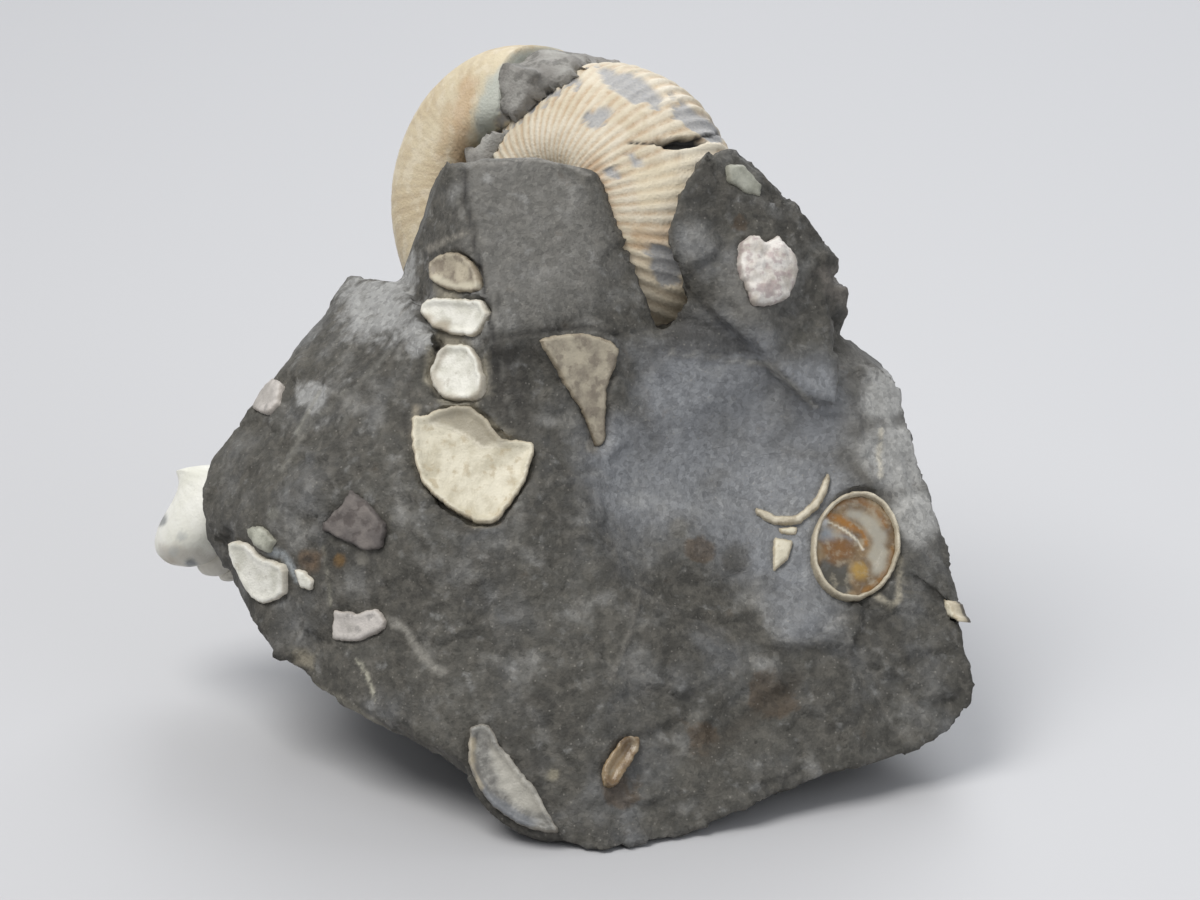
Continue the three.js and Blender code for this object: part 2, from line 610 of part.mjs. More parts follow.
pockets.push(slabOn(ringBed, widened(ringOut, POCKET_GAP), CHIP_DEPTH + POCKET_GAP, 4, 0));

const rock = biggest(pockets.reduce((solid, pocket) => solid.subtract(pocket), whole));

const specimen = new THREE.Group();
specimen.add(
  meshOf("shale_block", geometryOf(rock), "shale"),
  meshOf("scaphites_shell", geometryOf(ammoniteSolid()).applyMatrix4(place), "shell"),
  ...pieces,
);
export default specimen;
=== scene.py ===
# %% [markdown]
# # A scaphites ammonite in its matrix
# A scaphites is an ammonite that gave up coiling. It starts as a tight spiral, runs straight for a
# while, and ends in a hook that turns back towards the spiral. This one still sits in the lump of
# dark shale that it was found in, among broken bits of other shells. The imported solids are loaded
# first, as a frame that nothing may move. Every piece below is laid over one of them.

import math

import bmesh
import bpy
import numpy as np
from mathutils import Matrix, Vector, noise
from mathutils.bvhtree import BVHTree
from mathutils.geometry import delaunay_2d_cdt


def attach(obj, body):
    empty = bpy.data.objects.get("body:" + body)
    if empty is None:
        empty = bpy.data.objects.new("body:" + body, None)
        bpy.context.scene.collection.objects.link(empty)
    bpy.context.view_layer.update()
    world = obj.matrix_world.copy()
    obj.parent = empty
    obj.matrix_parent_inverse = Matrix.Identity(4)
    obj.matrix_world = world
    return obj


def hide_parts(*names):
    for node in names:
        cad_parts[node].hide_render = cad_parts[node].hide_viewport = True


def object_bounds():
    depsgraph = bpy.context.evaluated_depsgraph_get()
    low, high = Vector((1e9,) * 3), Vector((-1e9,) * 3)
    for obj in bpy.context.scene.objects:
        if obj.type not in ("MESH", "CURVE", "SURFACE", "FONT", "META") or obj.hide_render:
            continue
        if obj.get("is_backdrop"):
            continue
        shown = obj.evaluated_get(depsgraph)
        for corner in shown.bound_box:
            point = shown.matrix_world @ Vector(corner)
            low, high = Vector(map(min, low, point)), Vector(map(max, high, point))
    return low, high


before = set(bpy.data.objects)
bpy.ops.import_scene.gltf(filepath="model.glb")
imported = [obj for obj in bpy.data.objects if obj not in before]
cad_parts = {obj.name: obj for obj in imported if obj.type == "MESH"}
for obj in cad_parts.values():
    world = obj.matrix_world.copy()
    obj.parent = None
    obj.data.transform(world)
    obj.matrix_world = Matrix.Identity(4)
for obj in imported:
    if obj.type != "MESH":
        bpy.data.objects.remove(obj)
cad_box = [list(corner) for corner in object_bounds()]
MM = 0.001
print("solids in the frame:", len(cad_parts))

# %% [markdown]
# ## The line of sight
# All the places on the front of the rock are easiest to give as they are seen: so far across, so far
# up, and so much nearer than a picture plane that stands across the line of sight. The camera stands
# where the eye is, so the same three numbers serve for the pieces, their colours and the camera.

# %% Line of sight and camera
EYE_DOWN = math.radians(20)
EYE_DISTANCE = 400 * MM
PICTURE_HEIGHT = 26.7 * MM
PICTURE_WIDTH = 102 * MM
SENSOR_WIDTH = 36

ACROSS = Vector((1, 0, 0))
UP = Vector((0, math.sin(EYE_DOWN), math.cos(EYE_DOWN)))
NEAR = Vector((0, -math.cos(EYE_DOWN), math.sin(EYE_DOWN)))
PICTURE_CENTRE = Vector((0, 0, PICTURE_HEIGHT))
EYE = PICTURE_CENTRE + NEAR * EYE_DISTANCE


def on_picture(across, up):
    """The point of the picture plane so many millimetres across and up."""
    return PICTURE_CENTRE + ACROSS * (across * MM) + UP * (up * MM)


def seen(across, up, nearer):
    """The point that the eye sees there, so much nearer than the picture plane."""
    share = 1 - nearer * MM / EYE_DISTANCE
    return EYE + (on_picture(across, up) - EYE) * share


def picture_places(points):
    """Where the eye sees each point on the picture plane, in millimetres, and how much nearer it is."""
    offset = np.asarray(points) - np.array(PICTURE_CENTRE)
    across, up, nearer = (offset @ np.array(axis) for axis in (ACROSS, UP, NEAR))
    spread = EYE_DISTANCE / (EYE_DISTANCE - nearer)
    return across * spread / MM, up * spread / MM, nearer / MM


camera_data = bpy.data.cameras.new("camera")
camera_data.sensor_width = SENSOR_WIDTH
camera_data.lens = SENSOR_WIDTH * EYE_DISTANCE / PICTURE_WIDTH
camera_data.clip_start = 1 * MM
camera = bpy.data.objects.new("camera", camera_data)
camera.location = EYE
camera.rotation_euler = (math.pi / 2 - EYE_DOWN, 0, 0)
bpy.context.scene.collection.objects.link(camera)
bpy.context.scene.camera = camera
print("lens", round(camera_data.lens, 1), "mm")

# %% [markdown]
# ## Floor and light
# A fossil shows its relief best in soft light from one side. It stands on a pale floor under a broad
# lamp from the upper left, a weaker one from the right that catches the smooth patches of the stone, a
# third from behind that lifts the edges, and an even grey sky.

# %% Floor and light
FLOOR_COLOUR = (0.50, 0.50, 0.51, 1)


def lamp(name, place, size, power, colour):
    """A square soft lamp that points at the middle of the specimen."""
    data = bpy.data.lights.new(name, "AREA")
    data.size = size
    data.energy = power
    data.color = colour
    made = bpy.data.objects.new(name, data)
    made.location = place
    made.rotation_euler = (PICTURE_CENTRE - Vector(place)).to_track_quat("-Z", "Y").to_euler()
    bpy.context.scene.collection.objects.link(made)


lamp("window", (-0.22, -0.10, 0.50), 0.34, 2.4, (1, 0.985, 0.96))
lamp("fill", (0.40, -0.30, 0.25), 0.34, 0.5, (0.93, 0.96, 1))
lamp("back", (0.10, 0.45, 0.40), 0.40, 1.6, (0.95, 0.97, 1))
world = bpy.data.worlds.new("even grey")
world.use_nodes = True
world.node_tree.nodes["Background"].inputs["Color"].default_value = (0.80, 0.82, 0.86, 1)
world.node_tree.nodes["Background"].inputs["Strength"].default_value = 0.5
bpy.context.scene.world = world
bpy.context.scene.view_settings.view_transform = "Standard"

floor_mesh = bpy.data.meshes.new("floor")
FLOOR_REACH = 3
floor_mesh.from_pydata(
    [(x, y, 0) for x, y in ((-1, -1), (1, -1), (1, 1), (-1, 1))], [], [(0, 1, 2, 3)]
)
floor_mesh.transform(Matrix.Scale(FLOOR_REACH, 4))
floor = bpy.data.objects.new("floor", floor_mesh)
bpy.context.scene.collection.objects.link(floor)
floor_look = bpy.data.materials.new("floor")
floor_look.use_nodes = True
floor_look.node_tree.nodes["Principled BSDF"].inputs["Base Color"].default_value = FLOOR_COLOUR
floor_look.node_tree.nodes["Principled BSDF"].inputs["Roughness"].default_value = 0.5
floor_mesh.materials.append(floor_look)
floor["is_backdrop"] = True

# %% [markdown]
# ## Small tools for node trees
# Every finish below is a tree of nodes. Short helpers keep them readable: they add a node, do one sum,
# mix two colours, or make a socket of a group. Each takes a value or a socket to link from.

# %% Helpers for node trees


def add(tree, kind, place=(0, 0), fields=None, **inputs):
    """Adds a node; an input is a value, or a socket to link from."""
    node = tree.nodes.new(kind)
    node.location = place
    for field, value in (fields or {}).items():
        setattr(node, field, value)
    for name, value in inputs.items():
        plug(tree, node.inputs[name.replace("_", " ")], value)
    return node


def plug(tree, socket, value):
    """Links a socket to another one, or sets its value."""
    if isinstance(value, bpy.types.NodeSocket):
        tree.links.new(value, socket)
    else:
        socket.default_value = value


def maths(tree, operation, a, b=None):
    """One Math node, and its result."""
    node = tree.nodes.new("ShaderNodeMath")
    node.operation = operation
    plug(tree, node.inputs[0], a)
    if b is not None:
        plug(tree, node.inputs[1], b)
    return node.outputs[0]


def times(tree, a, b):
    """Two numbers multiplied."""
    return maths(tree, "MULTIPLY", a, b)


def plus(tree, a, b):
    """Two numbers added."""
    return maths(tree, "ADD", a, b)


def minus(tree, a, b):
    """The second number taken from the first."""
    return maths(tree, "SUBTRACT", a, b)


def vector_maths(tree, operation, a, b=None, scale=None):
    """One Vector Math node, and its result."""
    node = tree.nodes.new("ShaderNodeVectorMath")
    node.operation = operation
    plug(tree, node.inputs[0], a)
    if b is not None:
        plug(tree, node.inputs[1], b)
    if scale is not None:
        plug(tree, node.inputs["Scale"], scale)
    return node.outputs["Value" if operation == "DOT_PRODUCT" else "Vector"]


def scaled(tree, vector, scale):
    """A vector times a number."""
    return vector_maths(tree, "SCALE", vector, scale=scale)


def ranged(tree, value, low, high, to_low=0.0, to_high=1.0):
    """A smooth step of the value from low to high."""
    node = tree.nodes.new("ShaderNodeMapRange")
    node.interpolation_type = "SMOOTHSTEP"
    for name, given in (("Value", value), ("From Min", low), ("From Max", high)):
        plug(tree, node.inputs[name], given)
    plug(tree, node.inputs["To Min"], to_low)
    plug(tree, node.inputs["To Max"], to_high)
    return node.outputs["Result"]


def blended(tree, share, first, second, mode="MIX"):
    """Two colours mixed."""
    node = tree.nodes.new("ShaderNodeMix")
    node.data_type = "RGBA"
    node.blend_type = mode
    plug(tree, node.inputs["Factor"], share)
    plug(tree, node.inputs[6], first)
    plug(tree, node.inputs[7], second)
    return node.outputs[2]


def socket(tree, name, kind, outgoing=False, value=None):
    """One socket on the outside of a group or a geometry tree."""
    made = tree.interface.new_socket(
        name, in_out="OUTPUT" if outgoing else "INPUT", socket_type="NodeSocket" + kind
    )
    if value is not None:
        made.default_value = value
    return made


def hexed(code):
    """The linear colour of a screen colour such as 5B5750."""
    parts = [int(code[i : i + 2], 16) / 255 for i in (0, 2, 4)]
    linear = [p / 12.92 if p <= 0.04045 else ((p + 0.055) / 1.055) ** 2.4 for p in parts]
    return (*linear, 1)


# %% [markdown]
# ## Small tools for meshes
# A CAD node arrives as loose triangles, so a copy is merged before it is reshaped. Points are moved as
# arrays, because a rock has far too many of them for a loop in Python.

# %% Helpers for meshes


def points_of(mesh):
    """A mesh's points as an array."""
    places = np.zeros(len(mesh.vertices) * 3)
    mesh.vertices.foreach_get("co", places)
    return places.reshape(-1, 3)


def normals_of(mesh):
    """A mesh's point normals as an array."""
    directions = np.zeros(len(mesh.vertices) * 3, np.float32)
    mesh.vertex_normals.foreach_get("vector", directions)
    return directions.reshape(-1, 3).astype(float)


def set_points(mesh, places):
    """Moves every point of a mesh."""
    mesh.vertices.foreach_set("co", np.asarray(places, np.float32).ravel())
    mesh.update()


def set_mask(mesh, name, values):
    """Keeps one number per point, for the finish to read."""
    mask = mesh.attributes.new(name, "FLOAT", "POINT")
    mask.data.foreach_set("value", np.asarray(values, np.float32))


def tidied(mesh, gap=0.002 * MM):
    """Merges doubles and turns every face outwards."""
    work = bmesh.new()
    work.from_mesh(mesh)
    bmesh.ops.remove_doubles(work, verts=work.verts, dist=gap)
    bmesh.ops.dissolve_degenerate(work, edges=work.edges, dist=gap / 10)
    bmesh.ops.recalc_face_normals(work, faces=work.faces)
    work.to_mesh(mesh)
    work.free()
    return mesh


def piece(name, mesh, material, replaced):
    """Puts a finished mesh in the scene in the place of its CAD node."""
    mesh.name = name
    made = bpy.data.objects.new(name, mesh)
    bpy.context.scene.collection.objects.link(made)
    mesh.materials.clear()
    mesh.materials.append(material)
    mesh.polygons.foreach_set("use_smooth", [True] * len(mesh.polygons))
    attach(made, "root")
    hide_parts(replaced)
    print(name, len(mesh.polygons), "faces")
    return made


def surface_tree(mesh):
    """The mesh's faces, ready to be asked what lies nearest."""
    return BVHTree.FromPolygons([v.co for v in mesh.vertices], [p.vertices[:] for p in mesh.polygons])


def baked(made, name):
    """The plain mesh that an object and its modifiers give; the object itself goes."""
    graph = bpy.context.evaluated_depsgraph_get()
    mesh = bpy.data.meshes.new_from_object(made.evaluated_get(graph))
    mesh.name = name
    bpy.data.objects.remove(made)
    return mesh


def even_mesh(name, mesh, voxel):
    """The mesh made anew of even faces about as large as a voxel."""
    carrier = bpy.data.objects.new(name, mesh)
    bpy.context.scene.collection.objects.link(carrier)
    remesh = carrier.modifiers.new("even mesh", "REMESH")
    remesh.mode = "VOXEL"
    remesh.voxel_size = voxel
    return baked(carrier, name)


def smooth_step(values, low, high):
    """0 under low, 1 over high, and smooth between them."""
    share = np.clip((values - low) / (high - low), 0, 1)
    return share * share * (3 - 2 * share)


def noise_at(points, size, seed, octaves=3):
    """Smooth noise of that grain in millimetres, from about -1 to 1, at each point."""
    shift = Vector((seed * 7.31, seed * 3.17, seed * 5.71))
    scale = 1 / (size * MM)
    return np.array([noise.fractal(Vector(p) * scale + shift, 0.7, 2.0, octaves) for p in points])


# %% [markdown]
# ## Shared effects
# Grain, specks and stains turn up in stone and shell alike, at different sizes. Each is a shader group
# that gives back a mask, which every finish then uses in its own way.

# %% Shader groups


def grain_group():
    """Fine grain of two sizes: the second is half as large. Gives one height."""
    tree = bpy.data.node_groups.new("grain", "ShaderNodeTree")
    socket(tree, "Vector", "Vector")
    socket(tree, "Size", "Float", value=1.0)
    socket(tree, "Height", "Float", outgoing=True)
    inside = add(tree, "NodeGroupInput")
    scale = maths(tree, "DIVIDE", 1000.0, inside.outputs["Size"])
    where = inside.outputs["Vector"]
    coarse = add(tree, "ShaderNodeTexNoise", Vector=where, Scale=scale, Detail=6.0, Roughness=0.62)
    fine = add(tree, "ShaderNodeTexVoronoi", Vector=where, Scale=times(tree, scale, 2.0))
    height = plus(tree, coarse.outputs["Fac"], times(tree, fine.outputs["Distance"], 0.35))
    out = add(tree, "NodeGroupOutput")
    tree.links.new(height, out.inputs["Height"])
    return tree


def speck_group():
    """Scattered round specks, as many as Share lets through. Gives a mask."""
    tree = bpy.data.node_groups.new("specks", "ShaderNodeTree")
    socket(tree, "Vector", "Vector")
    socket(tree, "Size", "Float", value=1.0)
    socket(tree, "Share", "Float", value=0.1)
    socket(tree, "Mask", "Float", outgoing=True)
    inside = add(tree, "NodeGroupInput")
    scale = maths(tree, "DIVIDE", 1000.0, inside.outputs["Size"])
    cells = add(tree, "ShaderNodeTexVoronoi", Vector=inside.outputs["Vector"], Scale=scale)
    chosen = add(tree, "ShaderNodeSeparateColor", Color=cells.outputs["Color"])
    picked = maths(tree, "LESS_THAN", chosen.outputs[0], inside.outputs["Share"])
    round_off = ranged(tree, cells.outputs["Distance"], 0.36, 0.22)
    out = add(tree, "NodeGroupOutput")
    tree.links.new(times(tree, picked, round_off), out.inputs["Mask"])
    return tree


def blotch_group():
    """Soft irregular blotches that cover about Share of the surface. Gives a mask."""
    tree = bpy.data.node_groups.new("blotches", "ShaderNodeTree")
    socket(tree, "Vector", "Vector")
    socket(tree, "Size", "Float", value=10.0)
    socket(tree, "Share", "Float", value=0.5)
    socket(tree, "Softness", "Float", value=0.1)
    socket(tree, "Mask", "Float", outgoing=True)
    inside = add(tree, "NodeGroupInput")
    scale = maths(tree, "DIVIDE", 1000.0, inside.outputs["Size"])
    where = inside.outputs["Vector"]
    cloud = add(tree, "ShaderNodeTexNoise", Vector=where, Scale=scale, Detail=5.0, Roughness=0.55)
    edge = minus(tree, 0.75, times(tree, inside.outputs["Share"], 0.5))
    low = minus(tree, edge, inside.outputs["Softness"])
    high = plus(tree, edge, inside.outputs["Softness"])
    out = add(tree, "NodeGroupOutput")
    tree.links.new(ranged(tree, cloud.outputs["Fac"], low, high), out.inputs["Mask"])
    return tree


def facet_group():
    """Small tilted faces with sharp edges, as on broken shale. Gives a height, and a tone for each face."""
    tree = bpy.data.node_groups.new("facets", "ShaderNodeTree")
    socket(tree, "Vector", "Vector")
    socket(tree, "Size", "Float", value=1.0)
    socket(tree, "Height", "Float", outgoing=True)
    socket(tree, "Tone", "Float", outgoing=True)
    inside = add(tree, "NodeGroupInput")
    scale = maths(tree, "DIVIDE", 1000.0, inside.outputs["Size"])
    cells = add(tree, "ShaderNodeTexVoronoi", Vector=inside.outputs["Vector"], Scale=scale)
    offset = vector_maths(tree, "SUBTRACT", inside.outputs["Vector"], cells.outputs["Position"])
    offset = scaled(tree, offset, scale)
    tilt = vector_maths(tree, "SUBTRACT", cells.outputs["Color"], (0.5, 0.5, 0.5))
    out = add(tree, "NodeGroupOutput")
    tree.links.new(vector_maths(tree, "DOT_PRODUCT", offset, tilt), out.inputs["Height"])
    tone = add(tree, "ShaderNodeSeparateColor", Color=cells.outputs["Color"])
    tree.links.new(tone.outputs[1], out.inputs["Tone"])
    return tree


GRAIN, SPECKS, BLOTCHES, FACETS = grain_group(), speck_group(), blotch_group(), facet_group()


def effect(tree, group, result, **inputs):
    """Places a shared group in a material and gives back its result."""
    node = add(tree, "ShaderNodeGroup", fields={"node_tree": group})
    for name, value in inputs.items():
        plug(tree, node.inputs[name], value)
    return node.outputs[result]


def new_finish(name, roughness, specular=0.5):
    """A material with its tree, its shader and the Object coordinates."""
    material = bpy.data.materials.new(name)
    material.use_nodes = True
    tree = material.node_tree
    shader = tree.nodes["Principled BSDF"]
    shader.inputs["Roughness"].default_value = roughness
    shader.inputs["Specular IOR Level"].default_value = specular
    where = add(tree, "ShaderNodeTexCoord", (-1600, 0)).outputs["Object"]
    return material, tree, shader, where


def bumped(tree, shader, height, depth):
    """Feeds a height in millimetres of depth to the shader's normal."""
    node = add(tree, "ShaderNodeBump", Height=height, Distance=depth * MM, Strength=1.0)
    tree.links.new(node.outputs["Normal"], shader.inputs["Normal"])


def masked(tree, name):
    """A number that the mesh keeps per point."""
    return add(tree, "ShaderNodeAttribute", fields={"attribute_name": name}).outputs["Fac"]


def painted_over(tree, colour):
    """The colour with the mesh's own painted marks over it."""
    kept = add(tree, "ShaderNodeAttribute", fields={"attribute_name": "paint"})
    return blended(tree, kept.outputs["Alpha"], colour, kept.outputs["Color"])


def stained(tree, colour, mask, share, code):
    """The colour with so much of another one over it, where the mask is."""
    return blended(tree, times(tree, mask, share), colour, hexed(code))


print("shared effects:", GRAIN.name, SPECKS.name, BLOTCHES.name, FACETS.name)

# %% [markdown]
# ## A tube that grows along a path
# An ammonite and a snail are both a tube that widens as it grows. The path is a string of points, one
# for each ring of the tube, and each point keeps the ring's size and its two directions. A tree of
# Geometry Nodes then lays a sheet over the rings. Ribs are a wave in the growth, so the tree reads how
# many ribs have passed at each ring, and raises the surface on each one.

# %% The tree for a shell tube


def tube_tree():
    """A closed tube over rings that the path's points describe, with ribs across it."""
    tree = bpy.data.node_groups.new("shell tube", "GeometryNodeTree")
    socket(tree, "Path", "Geometry")
    socket(tree, "Rings", "Int")
    socket(tree, "Around", "Int", value=96)
    socket(tree, "Rib Height", "Float", value=0.3 * MM)
    socket(tree, "Line Height", "Float", value=0.01 * MM)
    socket(tree, "Rib Bend", "Float", value=0.0)
    socket(tree, "Grain Size", "Float", value=1.5)
    socket(tree, "Grain Height", "Float", value=0.05 * MM)
    socket(tree, "Material", "Material")
    socket(tree, "Tube", "Geometry", outgoing=True)
    given = add(tree, "NodeGroupInput").outputs

    columns = plus(tree, given["Around"], 1)
    sheet = add(
        tree, "GeometryNodeMeshGrid", Size_X=1.0, Size_Y=1.0, Vertices_X=given["Rings"], Vertices_Y=columns
    )
    spot = add(tree, "ShaderNodeSeparateXYZ", Vector=add(tree, "GeometryNodeInputPosition").outputs[0])
    last = minus(tree, given["Rings"], 1)
    ring = maths(tree, "ROUND", times(tree, plus(tree, spot.outputs["X"], 0.5), last))
    share = plus(tree, spot.outputs["Y"], 0.5)
    turn = times(tree, share, 2 * math.pi)

    def of_ring(value, kind):
        fields = {"data_type": kind}
        sample = add(tree, "GeometryNodeSampleIndex", fields=fields, Geometry=given["Path"], Index=ring)
        plug(tree, sample.inputs["Value"], value)
        return sample.outputs["Value"]

    def named(name, kind="FLOAT"):
        node = add(tree, "GeometryNodeInputNamedAttribute", fields={"data_type": kind}, Name=name)
        return of_ring(node.outputs["Attribute"], kind)

    centre = of_ring(add(tree, "GeometryNodeInputPosition").outputs[0], "FLOAT_VECTOR")
    out, side = named("out", "FLOAT_VECTOR"), named("side", "FLOAT_VECTOR")
    flat, closed = named("flat"), named("closed")

    def bent(wave):
        size = maths(tree, "POWER", maths(tree, "ABSOLUTE", wave), flat)
        return times(tree, size, maths(tree, "SIGN", wave))

    cosine = maths(tree, "COSINE", turn)
    slow = minus(tree, turn, times(tree, maths(tree, "SINE", turn), 0.3))
    outward, sideways = bent(cosine), bent(maths(tree, "SINE", slow))

    drift = add(tree, "ShaderNodeTexNoise", Vector=centre, Scale=160.0, Detail=2.0)
    bend = times(tree, minus(tree, 1.0, cosine), given["Rib Bend"])
    phase = plus(tree, minus(tree, named("ribs"), bend), drift.outputs["Fac"])
    wave = maths(tree, "COSINE", times(tree, phase, 2 * math.pi))
    crest = times(tree, plus(tree, wave, 1.0), 0.5)
    line = maths(tree, "COSINE", times(tree, phase, 2 * math.pi * 3.37))
    fade = ranged(tree, cosine, -0.7, 0.3)
    height = times(tree, times(tree, given["Rib Height"], named("strength")), fade)
    spread = vector_maths(tree, "ADD", centre, scaled(tree, side, times(tree, sideways, named("wide"))))
    worn = add(tree, "ShaderNodeTexNoise", Vector=spread, Scale=260.0, Detail=2.0)
    height = times(tree, height, ranged(tree, worn.outputs["Fac"], 0.35, 0.65, 0.35, 1.15))
    fine_line = times(tree, given["Line Height"], line)
    rib = plus(tree, times(tree, height, crest), fine_line)

    scale = maths(tree, "DIVIDE", 1000.0, given["Grain Size"])
    where = vector_maths(tree, "ADD", centre, scaled(tree, out, times(tree, named("half"), outward)))
    where = vector_maths(tree, "ADD", where, scaled(tree, side, times(tree, named("wide"), sideways)))
    grain = add(tree, "ShaderNodeTexNoise", Vector=where, Scale=scale, Detail=3.0)
    rough = times(tree, minus(tree, grain.outputs["Fac"], 0.5), given["Grain Height"])
    swell = plus(tree, rib, rough)

    def reach(size, wave, least=None):
        value = times(tree, plus(tree, size, swell), wave)
        if least is not None:
            value = maths(tree, "MAXIMUM", value, least)
        return times(tree, value, closed)

    out_step = scaled(tree, out, reach(named("half"), outward, named("inside")))
    side_step = scaled(tree, side, reach(named("wide"), sideways))
    place = vector_maths(tree, "ADD", vector_maths(tree, "ADD", centre, out_step), side_step)

    kept = sheet.outputs["Mesh"]
    for name, value in (("crest", crest), ("ribbed", named("strength"))):
        store = add(tree, "GeometryNodeStoreNamedAttribute", Geometry=kept, Name=name, Value=value)
        kept = store.outputs["Geometry"]
    moved = add(tree, "GeometryNodeSetPosition", Geometry=kept, Position=place)
    merged = add(tree, "GeometryNodeMergeByDistance", Geometry=moved.outputs[0], Distance=0.001 * MM)
    smooth = add(tree, "GeometryNodeSetShadeSmooth", Geometry=merged.outputs[0])
    real = add(tree, "GeometryNodeRealizeInstances", Geometry=smooth.outputs[0])
    painted = add(tree, "GeometryNodeSetMaterial", Geometry=real.outputs[0], Material=given["Material"])
    finish = add(tree, "NodeGroupOutput")
    tree.links.new(painted.outputs[0], finish.inputs["Tube"])
    return tree


TUBE = tube_tree()


def grown(name, tree, start, **inputs):
    """The plain mesh that a geometry tree makes of a starting mesh with these inputs."""
    carrier = bpy.data.objects.new(name, start)
    bpy.context.scene.collection.objects.link(carrier)
    modifier = carrier.modifiers.new("tree", "NODES")
    modifier.node_group = tree
    for item in tree.interface.items_tree:
        wanted = item.name.replace(" ", "_")
        if item.in_out == "INPUT" and wanted in inputs:
            modifier[item.identifier] = inputs[wanted]
    return baked(carrier, name)


def path_mesh(name, centres, vectors, numbers):
    """A string of points with the vectors and numbers that each one keeps."""
    mesh = bpy.data.meshes.new(name)
    mesh.from_pydata([tuple(c) for c in centres], [(i, i + 1) for i in range(len(centres) - 1)], [])
    for key, values in vectors.items():
        kept = mesh.attributes.new(key, "FLOAT_VECTOR", "POINT")
        kept.data.foreach_set("vector", np.asarray(values, np.float32).ravel())
    for key, values in numbers.items():
        set_mask(mesh, key, values)
    return mesh


print("tube tree:", len(TUBE.nodes), "nodes")

# %% [markdown]
# ## The path of the ammonite
# The coiled part is a logarithmic spiral: each whorl is 1.38 times as large as the one before. The
# straight shaft and the hook leave that rule, so they follow a smooth curve through eight stations.
# The whole path is flat, and the plane is turned 52 degrees from edge-on and tilted 12 degrees, which
# is how the animal came to lie in the mud.

# %% Ammonite path
COIL_RADIUS = 15.4
WHORL_GROWTH = 1.38
COIL_CENTRE = (3.4, 1.2)
WHORL_SECTION = (0.55, 0.45, 0.61)
COIL_PLACE = (-2.7, 19.7, -18.6)
COIL_TURNED = math.radians(52)
COIL_TILTED = math.radians(12)
FIRST_DEGREES = 400
FREE_DEGREES = 300
RIB_PITCH = 1.35
SHAFT_AND_HOOK = [
    (3.4, -7.27, 6.93, 9.4), (-1, -8.6, 6.4, 9.2), (-5.8, -8.2, 5.9, 8.9), (-10, -5, 5.4, 8.6),
    (-12.3, 0.6, 5.2, 8.2), (-11.4, 5.9, 4.8, 7.8), (-8.2, 9.5, 4.4, 7.4), (-4.6, 10.9, 3.9, 7),
]


def curve_point(stations, share):
    """A point of the smooth curve through stations, for a share of the way from 0 to 1."""
    stations = np.asarray(stations, float)
    spot = share * (len(stations) - 1)
    i = min(int(spot), len(stations) - 2)
    t = spot - i
    p1, p2 = stations[i], stations[i + 1]
    p0 = stations[i - 1] if i else 2 * p1 - p2
    p3 = stations[i + 2] if i + 2 < len(stations) else 2 * p2 - p1
    d0, d1, d2 = (max(np.linalg.norm(b - a) ** 0.5, 1e-4) for a, b in ((p0, p1), (p1, p2), (p2, p3)))
    m1 = ((p1 - p0) / d0 - (p2 - p0) / (d0 + d1) + (p2 - p1) / d1) * d1
    m2 = ((p2 - p1) / d1 - (p3 - p1) / (d1 + d2) + (p3 - p2) / d2) * d1
    return p1 + m1 * t + (3 * (p2 - p1) - 2 * m1 - m2) * t * t + (2 * (p1 - p2) + m1 + m2) * t**3


def coil_station(back):
    """Centre, way out, half height, half width and flatness so many degrees back on the coil."""
    angle = math.radians(back - 90)
    radius = COIL_RADIUS * WHORL_GROWTH ** (-back / 360)
    way = (math.cos(angle), math.sin(angle))
    middle, half, wide = (share * radius for share in WHORL_SECTION)
    return (COIL_CENTRE[0] + middle * way[0], COIL_CENTRE[1] + middle * way[1], *way, half, wide, 1)


def hook_station(share):
    """The same for a share of the way along shaft and hook."""
    path = [s[:2] for s in SHAFT_AND_HOOK]
    x, z = curve_point(path, share)
    along = np.subtract(curve_point(path, min(1, share + 1e-3)), curve_point(path, share - 1e-3))
    along /= np.linalg.norm(along)
    half, wide = curve_point([s[2:] for s in SHAFT_AND_HOOK], share)
    return (x, z, -along[1], along[0], half, wide, 1 + (0.72 - 1) * min(1, 2 * share))


def even_stations(inner_pitch, outer_pitch):
    """Stations at even steps along the outer edge, and the length of edge before each."""
    fine = [coil_station(back) for back in np.arange(FIRST_DEGREES, 0, -0.5)]
    free_from = sum(1 for back in np.arange(FIRST_DEGREES, 0, -0.5) if back > FREE_DEGREES)
    fine += [hook_station(share) for share in np.linspace(0.002, 1, 700)]
    fine = np.array(fine)
    edge = fine[:, :2] + fine[:, 2:4] * fine[:, 4:5]
    walked = np.concatenate([[0], np.cumsum(np.linalg.norm(np.diff(edge, axis=0), axis=1))])
    free = walked[free_from]
    wanted = np.concatenate([np.arange(0, free, inner_pitch), np.arange(free, walked[-1], outer_pitch)])
    return np.array([np.interp(wanted, walked, column) for column in fine.T]).T, wanted


def in_picture(across, up, nearer):
    """A direction by how far it goes across, up and nearer."""
    return ACROSS * across + UP * up + NEAR * nearer


TURNED_ACROSS, TURNED_NEARER = math.sin(COIL_TURNED), math.cos(COIL_TURNED)
TILT_COS, TILT_SIN = math.cos(COIL_TILTED), math.sin(COIL_TILTED)
COIL_LENGTH = in_picture(TURNED_ACROSS * TILT_COS, -TILT_SIN, TURNED_NEARER * TILT_COS)
COIL_HEIGHT = in_picture(TURNED_ACROSS * TILT_SIN, TILT_COS, TURNED_NEARER * TILT_SIN)
COIL_WIDTH = COIL_HEIGHT.cross(COIL_LENGTH)
COIL_AXES = np.array([COIL_LENGTH, COIL_HEIGHT])
CAP_RINGS = 6

stations, walked = even_stations(0.5, 0.17)
rib_count = round(walked[-1] / RIB_PITCH)
print(len(stations), "rings over", round(walked[-1]), "mm of outer edge,", rib_count, "ribs")

